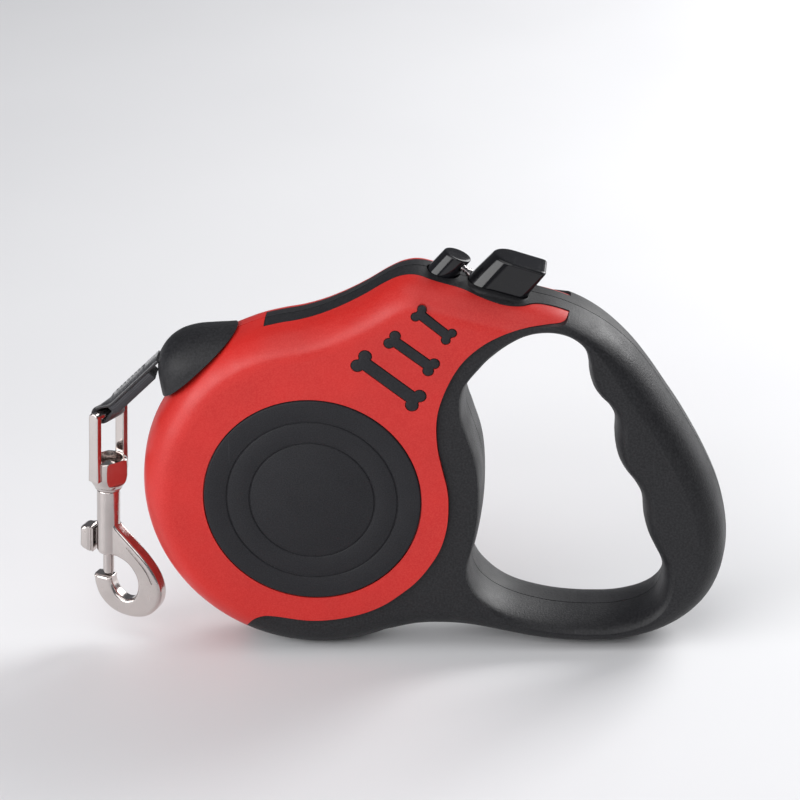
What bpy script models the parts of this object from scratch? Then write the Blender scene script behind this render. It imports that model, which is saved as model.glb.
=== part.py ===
"""Retractable leash: red round case, black frame with a D-shaped handle, spool, buttons and snap hook.

X runs along the length (nose at -X, handle at +X), Y is the thickness, Z is up.
Outlines are in millimetres around the spool's axis (the hub), which stands HUB_HEIGHT above the ground.
"""
import math

import bmesh
import bpy
from mathutils import Matrix, Vector

# ---------------------------------------------------------------- driving dimensions, millimetres
MM = 0.001
HUB_HEIGHT = 49.4          # spool axis above the ground
HUB_X = -33.4              # spool axis from the middle of the length
CASE_RADIUS = 49.4         # round case, at its middle plane
COVER_HALF = 14.7          # half thickness of the red covers
FRAME_HALF = 13.6          # half thickness of the black frame
GAP = 0.3                  # clearance between neighbouring pieces
HALF_GAP = GAP / 2
CAVITY_RADIUS = 44.4       # round hollow for the spool
CAVITY_HALF = 12.0         # half depth of the hollow
WALL = 3.0                 # wall of the hump over the buttons
HUMP_HALF = 10.2           # half width of the room in the hump
TIP_WALL = 2.6             # the red tip over the handle's root: its wall, and half the width of its room
TIP_HALF = 8.5

DISC_RADIUS = 30.7         # flat disc on each side of the hub
DISC_FACE = 15.0
DISC_FLOOR = 13.7
DISC_RINGS = (24.2, 17.7)

SPOOL_RADIUS = 42.0
SPOOL_INNER_HALF = 5.6     # half width of the tape groove
SPOOL_OUTER_HALF = 7.2
CORE_RADIUS = 22.0
CUP_RADIUS = 20.0
RATCHET_COUNT = 18
RATCHET_DEPTH = 3.2
RATCHET_HALF_WIDTH = 2.9
POST_RADIUS = 5.0
PACK_RADIUS = 38.0         # wound tape, spool full
TAPE_HALF = 3.7            # half width of the tape
TAPE_THICKNESS = 0.6
TAPE_HEIGHT = PACK_RADIUS + 0.35 + TAPE_THICKNESS / 2
MOUTH_X = -42.4            # where the tape leaves the nose cap

BRAKE_ANGLE = 48.2         # the large button's axis, out from the hub, degrees above +X
BRAKE_FOOT = 80.4          # where the axis meets the case, from the hub
BRAKE_TRAVEL = 3.0         # from rest until the foot sits in a notch of the spool
FOOT_ROOM = 1.0            # left under the foot in the notch when the brake is pressed
BRAKE_BACK = 8.2           # the large button from its axis: towards the hand, towards the nose, half width
BRAKE_FRONT = 6.9
BRAKE_HALF = 5.7
BRAKE_TOP = 90.2           # its slanted top, where the axis meets it, and the slant in degrees
BRAKE_SLANT = 22.0
LOCK_AHEAD = 13.5          # the small button's axis: parallel to the large one's, this far towards the nose
LOCK_FOOT = 74.0
LOCK_RADIUS = 3.9
LOCK_TOP = 80.1
LOCK_SLANT = 18.0
BUTTON_GAP = 0.4

EYE_CENTRE = (-58.4, 0.0, 21.6)
HOOK_LEAN = 4.0            # the hook hangs this far from plumb, degrees
EYE_TURN = 60.0            # the eye's bar, degrees from +X towards +Y
SNAP_TURN = -20.0          # the hook's flat side, degrees from +X
EYE_HALF = 5.9             # half distance between the eye's legs

# ---------------------------------------------------------------- outlines, (x, z) around the hub
TOP_LINE = [(-23, 46.0), (-19, 47.4), (-13.5, 49.5), (-7.5, 50.8), (-1.5, 51.9), (4.5, 53.7), (10.5, 56.2),
            (16.5, 59.3), (22.5, 62.9), (27, 64.9), (31.5, 65.4), (36.5, 64.2), (45, 61.8), (57, 58.4),
            (66, 56.2)]
HANDLE_LINE = [(72, 54.2), (78.2, 51.2), (84.4, 47.0), (90.6, 41.0), (95.6, 34.2), (99.8, 27.3), (104, 20.2),
               (108, 12.4), (111.4, 4.8), (114, -2.4), (115.6, -9.5), (116.2, -17), (115.6, -24),
               (113.7, -30.4), (110.5, -35.9), (105.6, -40.7), (99, -44.6), (91.2, -47.2), (83, -48.5),
               (73, -48.6), (62.8, -47.7), (53.6, -46.0), (43, -44.1), (35, -43.6), (27.4, -43.9)]
HOLE_TOP = [(47.9, 4), (47.2, 11), (45.2, 18.5), (43.6, 25), (44.5, 32.4), (49.4, 38.5), (53.5, 42.1),
            (57.5, 45.0), (61.5, 47.1), (65.5, 48.1), (70, 48.0), (74, 46.6), (77.2, 43.6)]
HOLE_GRIP = [(78.3, 39.4), (78.5, 35.0), (79.4, 31.2), (81.2, 28.2), (83.5, 25.6), (85, 22.4), (85.3, 18.6),
             (85.1, 14.2), (85.8, 9.6), (87.5, 5.8), (90, 2.2), (91.8, -1.4), (92.5, -5.2), (92.7, -9.6),
             (93.7, -14.3), (95.4, -18.5), (97, -22.2), (97.8, -26.2)]
HOLE_BOTTOM = [(97.4, -31), (95.4, -35.2), (91, -38.4), (84, -40.3), (76, -40.6), (68, -40), (61, -38.6),
               (54.4, -36.4), (48.8, -33.2), (44.8, -28.8), (43.5, -23), (45.8, -15), (47.5, -6)]
RED_BORDER = [(70, 59), (72.4, 57), (73.8, 55), (73.6, 53), (72, 51.8), (67.5, 51.9), (62, 51.6),
              (56.5, 50.3), (50.9, 47.6), (45.3, 43.1), (41.2, 37.6), (37.7, 30.1),
              (36.1, 23.3), (36.1, 15.6), (37.2, 8.8), (38.3, 2.9),
              (38.5, -2.2), (37.8, -9), (35.7, -15.8), (32.4, -21.3), (28.3, -26.3), (23.5, -30.3),
              (18.5, -33.7), (12.3, -36.3), (4.5, -38), (-3.3, -38.3), (-12.5, -36.9), (-16.4, -36.9),
              (-19.6, -38.9), (-22.5, -44.4), (-24.5, -50)]
STRIP_EDGE = [(-12, 5.0), (10, 5.0), (28, 5.3), (37, 6.6), (44, 7.0), (49, 8.4), (55, 9.2), (60.5, 8.4),
              (66, 5.8), (78, 5.0)]
HUMP_ROOM = [(-4, 38), (-4, 46.4), (5, 49.6), (11.5, 52.6), (17.5, 56.2), (23.5, 59.8), (29.5, 62),
             (36, 60.8), (45, 58.4), (56, 55), (60, 52.6), (55.5, 48.8),
             (51, 45.4), (46.8, 41.4), (42, 35), (36, 20)]
GRIP_ROOM = [(85.5, 36.5), (89.5, 34), (94.5, 26.5), (100, 16.5), (105, 5.5), (108.5, -6), (109.5, -17),
             (107.5, -26), (103.5, -30), (101, -25), (99, -17.5), (96.8, -11), (96.2, -4), (94, 2.5),
             (90.5, 8), (89.3, 14), (89, 22), (86, 28.5), (83, 32)]
NOSE_LINE = [(-41.8, 23.8), (-42.4, 28), (-43, 32.3), (-43.2, 36), (-42.4, 39.8), (-40, 43.2), (-36.4, 45.7),
             (-32, 47.1), (-27.5, 47.7), (-22.5, 47.9), (-18.8, 48.1)]
NOSE_TRIM = [(-46, 24.6), (-14, 52.9), (20, 52.9), (20, 0), (-46, 0)]     # the cap ends along this line
NOSE_INNER = [(-13, 46.6), (-8, 42), (-8, 34), (-14, 22), (-24, 12), (-33, 11), (-39, 15)]

# crown of each shell: (distance from the middle plane, how far the outline has drawn in)
COVER_CROWN = [(0, 0), (5, 0.5), (8.5, 1.5), (11, 3.0), (13, 4.9), (14.3, 7.2), (COVER_HALF, 9.6)]
FRAME_CROWN = [(0, 0), (5, 0.5), (8.5, 1.5), (11, 3.1), (12.6, 5.0), (FRAME_HALF, 7.6)]
HOLE_SHARE = 0.45          # the hole's rim is rounded this much of the outer rim
NOSE_CROWN = [(0, 0), (4, 0.5), (7.5, 1.9), (10, 4.0), (11.6, 6.6), (12.4, 10)]

# bone inlays: name, (x, z) of the two ends' middles, half spread of each pair of knobs, knob and shaft radius
BONES = [("large", (15.9, 42.7), (30.6, 30.5), 1.8, 1.75, 1.6),
         ("medium", (24.8, 49.1), (35.3, 40.6), 1.4, 1.45, 1.25),
         ("small", (32.5, 56.9), (40.6, 49.8), 1.4, 1.2, 1.12)]
SCREWS = [("frame_screw_belly", 38.0, -37.6), ("frame_screw_heel", 102.0, -36.0),
          ("frame_screw_toe", 83.8, 40.6)]

# ---------------------------------------------------------------- scene
for old in list(bpy.data.objects):
    bpy.data.objects.remove(old, do_unlink=True)
PARTS = bpy.data.collections.new("retractable_leash")
CUTTERS = bpy.data.collections.new("cutters")
bpy.context.scene.collection.children.link(PARTS)
bpy.context.scene.collection.children.link(CUTTERS)
HUB = Vector((HUB_X, 0, HUB_HEIGHT)) * MM


def material(name, colour, roughness, metallic=0.0):
    found = bpy.data.materials.get(name)
    if found:
        return found
    made = bpy.data.materials.new(name)
    made.use_nodes = True
    shader = made.node_tree.nodes["Principled BSDF"]
    shader.inputs["Base Color"].default_value = (*colour, 1)
    shader.inputs["Roughness"].default_value = roughness
    shader.inputs["Metallic"].default_value = metallic
    return made


RED = material("red_shell", (0.62, 0.035, 0.03), 0.42)
BLACK = material("black_shell", (0.03, 0.03, 0.034), 0.55)
GLOSS = material("gloss_button", (0.012, 0.012, 0.014), 0.15)
INLAY = material("inlay", (0.035, 0.035, 0.042), 0.6)
PLATED = material("plated_metal", (0.72, 0.68, 0.66), 0.18, 1.0)
STEEL = material("spring_steel", (0.45, 0.46, 0.48), 0.3, 1.0)
INNER = material("inner_plastic", (0.55, 0.56, 0.55), 0.5)
TAPE = material("tape", (0.02, 0.02, 0.024), 0.8)


# ---------------------------------------------------------------- helpers
def link(obj, finish=None, cutter=False):
    """Put an object in its collection, with its finish or as a hidden cutter."""
    (CUTTERS if cutter else PARTS).objects.link(obj)
    if cutter:
        obj.hide_render = True
        obj.display_type = "WIRE"
    else:
        obj.data.materials.append(finish)
    return obj


def new_mesh_object(name, bm):
    bmesh.ops.recalc_face_normals(bm, faces=bm.faces)
    mesh = bpy.data.meshes.new(name)
    bm.to_mesh(mesh)
    bm.free()
    return bpy.data.objects.new(name, mesh)


def spline(points, steps=3, closed=False):
    """Catmull-Rom curve through the points."""
    count = len(points)
    curve = []
    for i in range(count if closed else count - 1):
        if closed:
            a, b, c, d = (points[(i + k) % count] for k in (-1, 0, 1, 2))
        else:
            a, b = points[max(i - 1, 0)], points[i]
            c, d = points[i + 1], points[min(i + 2, count - 1)]
        for step in range(steps):
            t = step / steps
            curve.append(tuple(
                0.5 * (2 * q + (r - p) * t + (2 * p - 5 * q + 4 * r - s) * t * t
                       + (3 * q - p - 3 * r + s) * t ** 3) for p, q, r, s in zip(a, b, c, d)))
    if not closed:
        curve.append(points[-1])
    return curve


def arc(centre, radius, start, end, count):
    """Points on a circle from one angle to another, degrees."""
    angles = [math.radians(start + (end - start) * i / (count - 1)) for i in range(count)]
    return [(centre[0] + radius * math.cos(a), centre[1] + radius * math.sin(a)) for a in angles]


def inward_normals(outline):
    """Unit normals that point into the area of a closed outline."""
    area = sum(a[0] * b[1] - b[0] * a[1] for a, b in zip(outline, outline[1:] + outline[:1]))
    turn = 1 if area > 0 else -1
    normals = []
    for i in range(len(outline)):
        before, after = Vector(outline[i - 1]), Vector(outline[(i + 1) % len(outline)])
        along = (after - before).normalized()
        normals.append(Vector((-along.y, along.x)) * turn)
    return normals


def offset(outline, distance):
    """The outline moved inward by a distance (outward when negative)."""
    return [tuple(Vector(p) + n * distance) for p, n in zip(outline, inward_normals(outline))]


def room(point, normal, walls, limit):
    """Distance from a point along its normal to the nearest point of another wall, up to a limit."""
    near = limit
    for wall in walls:
        for q in wall:
            across = Vector(q) - Vector(point)
            if across.length < near and across.normalized().dot(normal) > 0.8:
                near = across.length
    return near


def crowned(name, outer, crown, hole=None, finish=None, cutter=False, whole=False):
    """Front half of a plate with a crowned rim, or the whole plate: rings of the outline, drawn in as
    they near the face."""
    if whole:
        crown = [(-depth, inset) for depth, inset in crown[:0:-1]] + crown
    else:
        crown = [(max(depth, HALF_GAP), inset) for depth, inset in crown]
    most = crown[-1][1]
    loops = [(outer, 1, 1)] + ([(hole, -1, HOLE_SHARE)] if hole else [])
    bm = bmesh.new()
    caps = {0: [], len(crown) - 1: []}
    for outline, sign, full in loops:
        others = [loop[0] for loop in loops if loop[0] is not outline]
        normals = [n * sign for n in inward_normals(outline)]
        shares = [min(full, 0.47 * room(p, n, others, 40) / most) for p, n in zip(outline, normals)]
        rings = []
        for level, (depth, inset) in enumerate(crown):
            ring = [bm.verts.new(Vector((p[0] + n.x * inset * s, -depth, p[1] + n.y * inset * s))
                                 * MM + HUB) for p, n, s in zip(outline, normals, shares)]
            rings.append(ring)
            if level in caps:
                caps[level].append(ring)
        for low, high in zip(rings, rings[1:]):
            for i in range(len(low)):
                j = (i + 1) % len(low)
                bm.faces.new((low[i], low[j], high[j], high[i]))
    for ring_set in caps.values():
        edges = [bm.edges.get((ring[i], ring[(i + 1) % len(ring)])) for ring in ring_set
                 for i in range(len(ring))]
        bmesh.ops.triangle_fill(bm, use_beauty=True, use_dissolve=False, edges=edges)
    obj = link(new_mesh_object(name, bm), finish, cutter)
    if not cutter:
        obj.data.shade_smooth()
        obj.data.set_sharp_from_angle(angle=math.radians(35))
    return obj


def flat(name, outline, low, high, finish=None, cutter=False, plane="XZ", holes=(), lift=True):
    """An outline of constant thickness: a filled 2D curve made into a mesh. low and high are along the
    plane's normal: Y for an outline in XZ, Z for one in XY."""
    curve = bpy.data.curves.new(name, "CURVE")
    curve.dimensions = "2D"
    curve.fill_mode = "BOTH"
    curve.extrude = (high - low) / 2 * MM
    for loop in (outline, *holes):
        path = curve.splines.new("POLY")
        path.points.add(len(loop) - 1)
        for point, (u, v) in zip(path.points, loop):
            point.co = (u * MM, v * MM, 0, 1)
        path.use_cyclic_u = True
    drawn = bpy.data.objects.new(name + "_outline", curve)
    CUTTERS.objects.link(drawn)
    bpy.context.view_layer.update()
    mesh = bpy.data.meshes.new_from_object(drawn.evaluated_get(bpy.context.evaluated_depsgraph_get()))
    bpy.data.objects.remove(drawn, do_unlink=True)
    bm = bmesh.new()
    bm.from_mesh(mesh)
    bpy.data.meshes.remove(mesh)
    bmesh.ops.remove_doubles(bm, verts=bm.verts, dist=0.00001)
    middle = (low + high) / 2 * MM
    if plane == "XZ":
        bmesh.ops.rotate(bm, verts=bm.verts, matrix=Matrix.Rotation(math.radians(90), 3, "X"))
        bmesh.ops.translate(bm, verts=bm.verts, vec=(0, middle, 0))
    else:
        bmesh.ops.translate(bm, verts=bm.verts, vec=(0, 0, middle))
    if lift:
        bmesh.ops.translate(bm, verts=bm.verts, vec=HUB)
    obj = link(new_mesh_object(name, bm), finish, cutter)
    return obj


def turned(name, profile, finish=None, cutter=False, steps=36, centre=(0, 0, 0), along="Y"):
    """A solid of revolution: a (radius, height) profile, turned by a Screw modifier about Z, or about the
    hub's axis with its heights running towards the front (-Y)."""
    bm = bmesh.new()
    verts = [bm.verts.new((r * MM, 0, h * MM)) for r, h in profile]
    on_axis = profile[0][0] == 0 and profile[-1][0] == 0
    pairs = list(zip(verts, verts[1:])) + ([] if on_axis else [(verts[-1], verts[0])])
    for pair in pairs:
        bm.edges.new(pair)
    mesh = bpy.data.meshes.new(name)
    bm.to_mesh(mesh)
    bm.free()
    obj = link(bpy.data.objects.new(name, mesh), finish, cutter)
    obj.location = Vector(centre) * MM + HUB
    if along == "Y":
        obj.rotation_euler = (math.radians(90), 0, 0)
    screw = obj.modifiers.new("turn", "SCREW")
    screw.axis = "Z"
    screw.steps = steps
    screw.render_steps = steps
    screw.use_merge_vertices = True
    screw.merge_threshold = 0.00001
    screw.use_smooth_shade = True
    return obj


def block(name, size, centre, finish=None, cutter=False, lift=True):
    bm = bmesh.new()
    bmesh.ops.create_cube(bm, size=1)
    bmesh.ops.scale(bm, verts=bm.verts, vec=Vector(size) * MM)
    bmesh.ops.translate(bm, verts=bm.verts, vec=Vector(centre) * MM + (HUB if lift else Vector()))
    return link(new_mesh_object(name, bm), finish, cutter)


def rod(name, radius, low, high, finish=None, cutter=False, segments=16):
    """A cylinder along local Z, from low to high."""
    bm = bmesh.new()
    bmesh.ops.create_cone(bm, cap_ends=True, segments=segments, radius1=radius * MM, radius2=radius * MM,
                          depth=(high - low) * MM)
    bmesh.ops.translate(bm, verts=bm.verts, vec=(0, 0, (low + high) / 2 * MM))
    obj = link(new_mesh_object(name, bm), finish, cutter)
    if not cutter:
        obj.data.shade_smooth()
        obj.data.set_sharp_from_angle(angle=math.radians(40))
    return obj


def coil(name, radius, wire, low, high, turns, finish=STEEL, per_turn=12):
    """A helical spring along local Z."""
    curve = bpy.data.curves.new(name, "CURVE")
    curve.dimensions = "3D"
    curve.bevel_depth = wire * MM
    curve.bevel_resolution = 1
    curve.use_fill_caps = True
    path = curve.splines.new("POLY")
    count = turns * per_turn
    path.points.add(count)
    for i, point in enumerate(path.points):
        angle = 2 * math.pi * i / per_turn
        height = low + (high - low) * i / count
        point.co = (radius * math.cos(angle) * MM, radius * math.sin(angle) * MM, height * MM, 1)
    obj = bpy.data.objects.new(name, curve)
    return link(obj, finish)


def boolean(obj, other, operation="DIFFERENCE"):
    mod = obj.modifiers.new(operation.lower() + "_" + other.name, "BOOLEAN")
    mod.operation = operation
    mod.object = other
    mod.solver = "EXACT"
    return mod


def soften(obj, width, segments=2, angle=40):
    """Round the edges."""
    mod = obj.modifiers.new("round", "BEVEL")
    mod.width = width * MM
    mod.segments = segments
    mod.limit_method = "ANGLE"
    mod.angle_limit = math.radians(angle)
    return mod


# ---------------------------------------------------------------- shared outlines
def case_outline():
    """The round case with the hump; its right side lies beyond the red border."""
    bottom = arc((0, 0), CASE_RADIUS, 152, 330, 38)
    back = [(70, -10), (104, 20)]
    top = spline(HANDLE_LINE[3::-1] + TOP_LINE[::-1] + [(-30.2, 40.8), (-37.4, 33), bottom[0]], 2)
    return bottom + back + top[:-1]


def frame_outline():
    bottom = arc((0, 0), CASE_RADIUS, 152, 292, 24)
    line = spline([(19.5, -45.6)] + HANDLE_LINE[::-1] + TOP_LINE[::-1] + [(-30, 41), (-37.5, 33)], 2)
    return bottom + line[1:-1]


def hole_outline():
    return spline(HOLE_TOP + HOLE_GRIP + HOLE_BOTTOM, 1, closed=True)


def top_height(x):
    """Height of the case's top line at x."""
    line = TOP_LINE + HANDLE_LINE[:3]
    for (x0, z0), (x1, z1) in zip(line, line[1:]):
        if x0 <= x <= x1:
            return z0 + (z1 - z0) * (x - x0) / (x1 - x0)
    return line[-1][1]


def strip_solid(name, grow, drop):
    """The black strip on top: its plan shape, kept to a band under the top line."""
    edge = spline(STRIP_EDGE, 3)
    plan = [(x, -(w + grow)) for x, w in edge] + [(x, w + grow) for x, w in reversed(edge)]
    plan = [(x - grow if x < 0 else x, y) for x, y in plan]
    strip = flat(name, plan, 30, 80, cutter=True, plane="XY")
    stations = [-16, -7.5, 4.5, 10.5, 16.5, 22.5, 27, 31.5, 36.5, 45, 57, 66, 72, 78.2, 82]
    band = [(x, top_height(min(max(x, -23), 78.2)) - drop) for x in stations]
    band += [(x, z + drop + 12) for x, z in reversed(band)]
    boolean(strip, flat(name + "_band", band, -14, 14, cutter=True), "INTERSECT")
    return strip


def red_area(name, grow):
    """Everything on the case's side of the red border, right through."""
    border = spline(RED_BORDER, 2)
    around = [(-60, -56), (-60, 80), (70, 80)]
    return flat(name, offset(border + around, -grow), -20, 20, cutter=True)


# ---------------------------------------------------------------- cutters
hub_ring = arc((0, 0), CAVITY_RADIUS, 0, 360, 49)[:-1]
hub_room = flat("hub_room", hub_ring, -CAVITY_HALF, CAVITY_HALF, cutter=True)
hump_room = flat("hump_room", HUMP_ROOM, -HUMP_HALF, HUMP_HALF, cutter=True)
mouth_room = block("mouth_room", (30, 2 * TAPE_HALF + 2.4, 3.6), (-36, 0, TAPE_HEIGHT), cutter=True)
boolean(hub_room, hump_room, "UNION")
strip_for_cover = strip_solid("strip_for_cover", HALF_GAP, WALL + GAP)
strip_for_frame = strip_solid("strip_for_frame", -HALF_GAP, WALL)

tip_line = ([(61, 48)] + [(x, top_height(x) - TIP_WALL) for x in (61, 66, 78)] + [(80, 44)])
tip_for_cover = flat("tip_for_cover", tip_line, -TIP_HALF, TIP_HALF, cutter=True)
tip_for_frame = flat("tip_for_frame", offset(tip_line, GAP), GAP - TIP_HALF, TIP_HALF - GAP, cutter=True)

red_for_frame = red_area("red_for_frame", HALF_GAP)
boolean(red_for_frame, strip_for_frame)
boolean(red_for_frame, tip_for_frame)
red_for_cover = red_area("red_for_cover", -HALF_GAP)

grip_room = flat("grip_room", GRIP_ROOM, -10.6, 10.6, cutter=True)


def brake_outline(grow=0.0, steps=5):
    """The large button in plan: a rounded block, blunter towards the hand."""
    points = []
    for x, radius, start in ((BRAKE_BACK, 1.9, 0), (-BRAKE_FRONT, 5.5, 90)):
        inner = x - math.copysign(radius, x)
        points += arc((inner, BRAKE_HALF - radius), radius + grow, start, start + 90, steps)
    return points + [(x, -y) for x, y in reversed(points)]


def button_frame(ahead=0.0):
    """A frame whose Z axis is a button's axis, out from the hub or beside it."""
    turn = Matrix.Rotation(math.radians(90 - BRAKE_ANGLE), 4, "Y")
    return Matrix.Translation(HUB) @ turn @ Matrix.Translation((-ahead * MM, 0, 0))


def button_hole(name, outline, frame, foot):
    hole = flat(name, outline, -14, 14, cutter=True, plane="XY", lift=False)
    hole.matrix_world = frame @ Matrix.Translation((0, 0, foot * MM))
    return hole


brake_hole = button_hole("brake_hole", brake_outline(BUTTON_GAP), button_frame(), BRAKE_FOOT)
lock_ring = arc((0, 0), LOCK_RADIUS + BUTTON_GAP, 0, 360, 25)[:-1]
lock_hole = button_hole("lock_hole", lock_ring, button_frame(LOCK_AHEAD), LOCK_FOOT)


# ---------------------------------------------------------------- shells
def bone_outline(start, end, spread, knob, shaft):
    """A bone: two pairs of round knobs joined by a straight shaft."""
    a, b = Vector(start), Vector(end)
    along = (b - a).normalized()
    across = Vector((-along.y, along.x))
    tip = (b - a).length / 2
    shaft_angle = 180 - math.degrees(math.asin((shaft - spread) / knob))
    local = []
    for sign in (1, -1):
        upper = arc((tip, spread), knob, shaft_angle - 8, -60, 12)
        side = upper + [(x, -z) for x, z in reversed(upper)]
        local += [(x * sign, z * sign) for x, z in side]
    middle = (a + b) / 2
    return [tuple(middle + along * x + across * z) for x, z in local]


def front_cover():
    """Red cover of the front side."""
    shell = crowned("front_cover", case_outline(), COVER_CROWN, hole=None, finish=RED)
    boolean(shell, red_for_cover, "INTERSECT")
    for cutter in (brake_hole, lock_hole, hub_room, tip_for_cover, strip_for_cover, mouth_room):
        boolean(shell, cutter)
    seat = arc((0, 0), DISC_RADIUS + GAP, 0, 360, 49)[:-1]
    boolean(shell, flat("disc_seat", seat, -20, GAP - DISC_FLOOR, cutter=True))
    for name, start, end, spread, knob, shaft in BONES:
        outline = bone_outline(start, end, spread, knob, shaft)
        boolean(shell, flat("bone_seat_" + name, offset(outline, -0.2), -20, -13.4, cutter=True))
    return shell


def front_bones():
    return [flat("front_bone_" + name, bone_outline(start, end, spread, knob, shaft), -14.9, -13.7, INLAY)
            for name, start, end, spread, knob, shaft in BONES]


def front_frame():
    """Black frame half of the front side: handle loop, belly and half of the top strip."""
    shell = crowned("front_frame", frame_outline(), FRAME_CROWN, hole_outline(), BLACK)
    for cutter in (brake_hole, lock_hole, grip_room, red_for_frame, hub_room):
        boolean(shell, cutter)
    return shell


def front_hub_disc():
    """Flat disc with two ring grooves, turned about the hub with its face towards -Y."""
    groove = 0.35
    profile = [(0, DISC_FACE)]
    for ring in reversed(DISC_RINGS):
        profile += [(ring - 0.35, DISC_FACE), (ring, DISC_FACE - groove), (ring + 0.35, DISC_FACE)]
    profile += [(DISC_RADIUS - 0.3, DISC_FACE), (DISC_RADIUS, DISC_FACE - 0.3), (DISC_RADIUS, DISC_FLOOR),
                (0, DISC_FLOOR)]
    return turned("front_hub_disc", profile, INLAY, steps=40)


def mirrored(obj, name):
    """The opposite half: the finished piece mirrored across the middle plane."""
    bpy.context.view_layer.update()
    mesh = bpy.data.meshes.new_from_object(obj.evaluated_get(bpy.context.evaluated_depsgraph_get()))
    mesh.transform(obj.matrix_world)
    mesh.transform(Matrix.Scale(-1, 4, (0, 1, 0)))
    mesh.flip_normals()
    mesh.name = name
    copy = bpy.data.objects.new(name, mesh)
    PARTS.objects.link(copy)
    return copy


def nose_cap():
    """Domed cap over the tape's mouth, seated on the case's crown."""
    cap = crowned("nose_cap", spline(NOSE_LINE, 2) + NOSE_INNER, NOSE_CROWN, finish=BLACK, whole=True)
    seat_crown = [(depth + GAP if depth else 0, inset) for depth, inset in COVER_CROWN]
    boolean(cap, crowned("case_for_cap", offset(case_outline(), -GAP), seat_crown, cutter=True, whole=True))
    boolean(cap, block("mouth_slot", (30, 2 * TAPE_HALF + 2, 2.4), (-36, 0, TAPE_HEIGHT), cutter=True))
    boolean(cap, flat("nose_trim", NOSE_TRIM, -20, 20, cutter=True)).solver = "MANIFOLD"
    pin_seat = rod("mouth_pin_seat", 1.75, -6.8, 6.8, cutter=True)
    across_at(pin_seat, (-38.6, 0, TAPE_HEIGHT - 2.1))
    boolean(cap, pin_seat)
    pin = rod("mouth_pin", 1.45, -6.4, 6.4, STEEL)
    across_at(pin, (-38.6, 0, TAPE_HEIGHT - 2.1))
    return cap


def across_at(obj, point):
    """Turn a piece's Z axis to the front (-Y) and put it at a point."""
    obj.rotation_euler = (math.radians(90), 0, 0)
    obj.location = Vector(point) * MM + HUB


def screws(front, rear):
    """Screws that join the frame halves, driven from the rear."""
    for name, x, z in SCREWS:
        turned(name, [(0, 8.6), (0.3, 8.6), (1.2, 7.6), (1.2, -6.8), (2.1, -6.8), (2.1, -8.6), (0, -8.6)],
               STEEL, steps=14, centre=(x, 0, z))
        clearance = rod(name + "_hole", 1.5, -8, 9.2, cutter=True)
        counterbore = rod(name + "_counterbore", 2.4, -16, -6.5, cutter=True)
        for tool in (clearance, counterbore):
            across_at(tool, (x, 0, z))
        boolean(front, clearance)
        boolean(rear, clearance)
        boolean(rear, counterbore)


# ---------------------------------------------------------------- spool and tape
def ring_outline(radius, count=40):
    return arc((0, 0), radius, 0, 360, count + 1)[:-1]


def spool():
    """Reel with two flanges; the front one is closed in to the bush, the rear one opens on the spring."""
    reel = turned("spool", [(9.4, 9.4), (9.4, SPOOL_OUTER_HALF), (SPOOL_RADIUS, SPOOL_OUTER_HALF),
                            (SPOOL_RADIUS, SPOOL_INNER_HALF), (CORE_RADIUS, SPOOL_INNER_HALF),
                            (CORE_RADIUS, -SPOOL_INNER_HALF), (SPOOL_RADIUS, -SPOOL_INNER_HALF),
                            (SPOOL_RADIUS, -SPOOL_OUTER_HALF), (CUP_RADIUS, -SPOOL_OUTER_HALF),
                            (CUP_RADIUS, SPOOL_INNER_HALF), (7.2, SPOOL_INNER_HALF), (7.2, 9.4)],
                  INNER, steps=54)
    notches = []
    for i in range(RATCHET_COUNT):
        turn = Matrix.Rotation(math.radians(BRAKE_ANGLE + 360 / RATCHET_COUNT * i), 2)
        floor = SPOOL_RADIUS - RATCHET_DEPTH
        corners = [(floor, -RATCHET_HALF_WIDTH), (SPOOL_RADIUS + 2, -RATCHET_HALF_WIDTH),
                   (SPOOL_RADIUS + 2, RATCHET_HALF_WIDTH), (floor, RATCHET_HALF_WIDTH)]
        notches.append([tuple(turn @ Vector(corner)) for corner in corners])
    boolean(reel, flat("spool_notches", notches[0], -9, 9, cutter=True, holes=notches[1:]))


def spiral(inner, outer, turns, thickness, per_turn=18):
    """Outline of a flat band wound in a spiral."""
    count = turns * per_turn
    outside, inside = [], []
    for i in range(count + 1):
        angle = math.tau * i / per_turn
        radius = inner + (outer - inner) * i / count
        for side, points in ((thickness / 2, outside), (-thickness / 2, inside)):
            points.append(((radius + side) * math.cos(angle), (radius + side) * math.sin(angle)))
    return outside + inside[::-1]


def spool_set():
    """Spool, its bush, the rewind spring with its cover, the wound tape and the post they turn on."""
    spool()
    turned("spool_bush", [(6.9, 9.6), (6.9, 4.7), (5.3, 4.7), (5.3, 9.6)], STEEL, steps=24)
    flat("spiral_spring", spiral(5.6, 18.8, 5, 0.5), -4.3, 5.4, STEEL)
    turned("spring_cover", [(19.6, -5.8), (19.6, -7.0), (5.6, -7.0), (5.6, -5.8)], INNER)
    turned("tape_pack", [(PACK_RADIUS, TAPE_HALF), (PACK_RADIUS, -TAPE_HALF), (CORE_RADIUS + GAP, -TAPE_HALF),
                         (CORE_RADIUS + GAP, TAPE_HALF)], TAPE, steps=48)
    turned("axle_post", [(0, 11.7), (8.5, 11.7), (8.5, 9.9), (POST_RADIUS, 9.9), (POST_RADIUS, -11.7),
                         (0, -11.7)], STEEL, steps=24)


def tape_run():
    low = TAPE_HEIGHT - TAPE_THICKNESS / 2
    return block("tape_run", (-2 - MOUTH_X, 2 * TAPE_HALF, TAPE_THICKNESS),
                 ((MOUTH_X - 2) / 2, 0, low + TAPE_THICKNESS / 2), TAPE)


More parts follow.
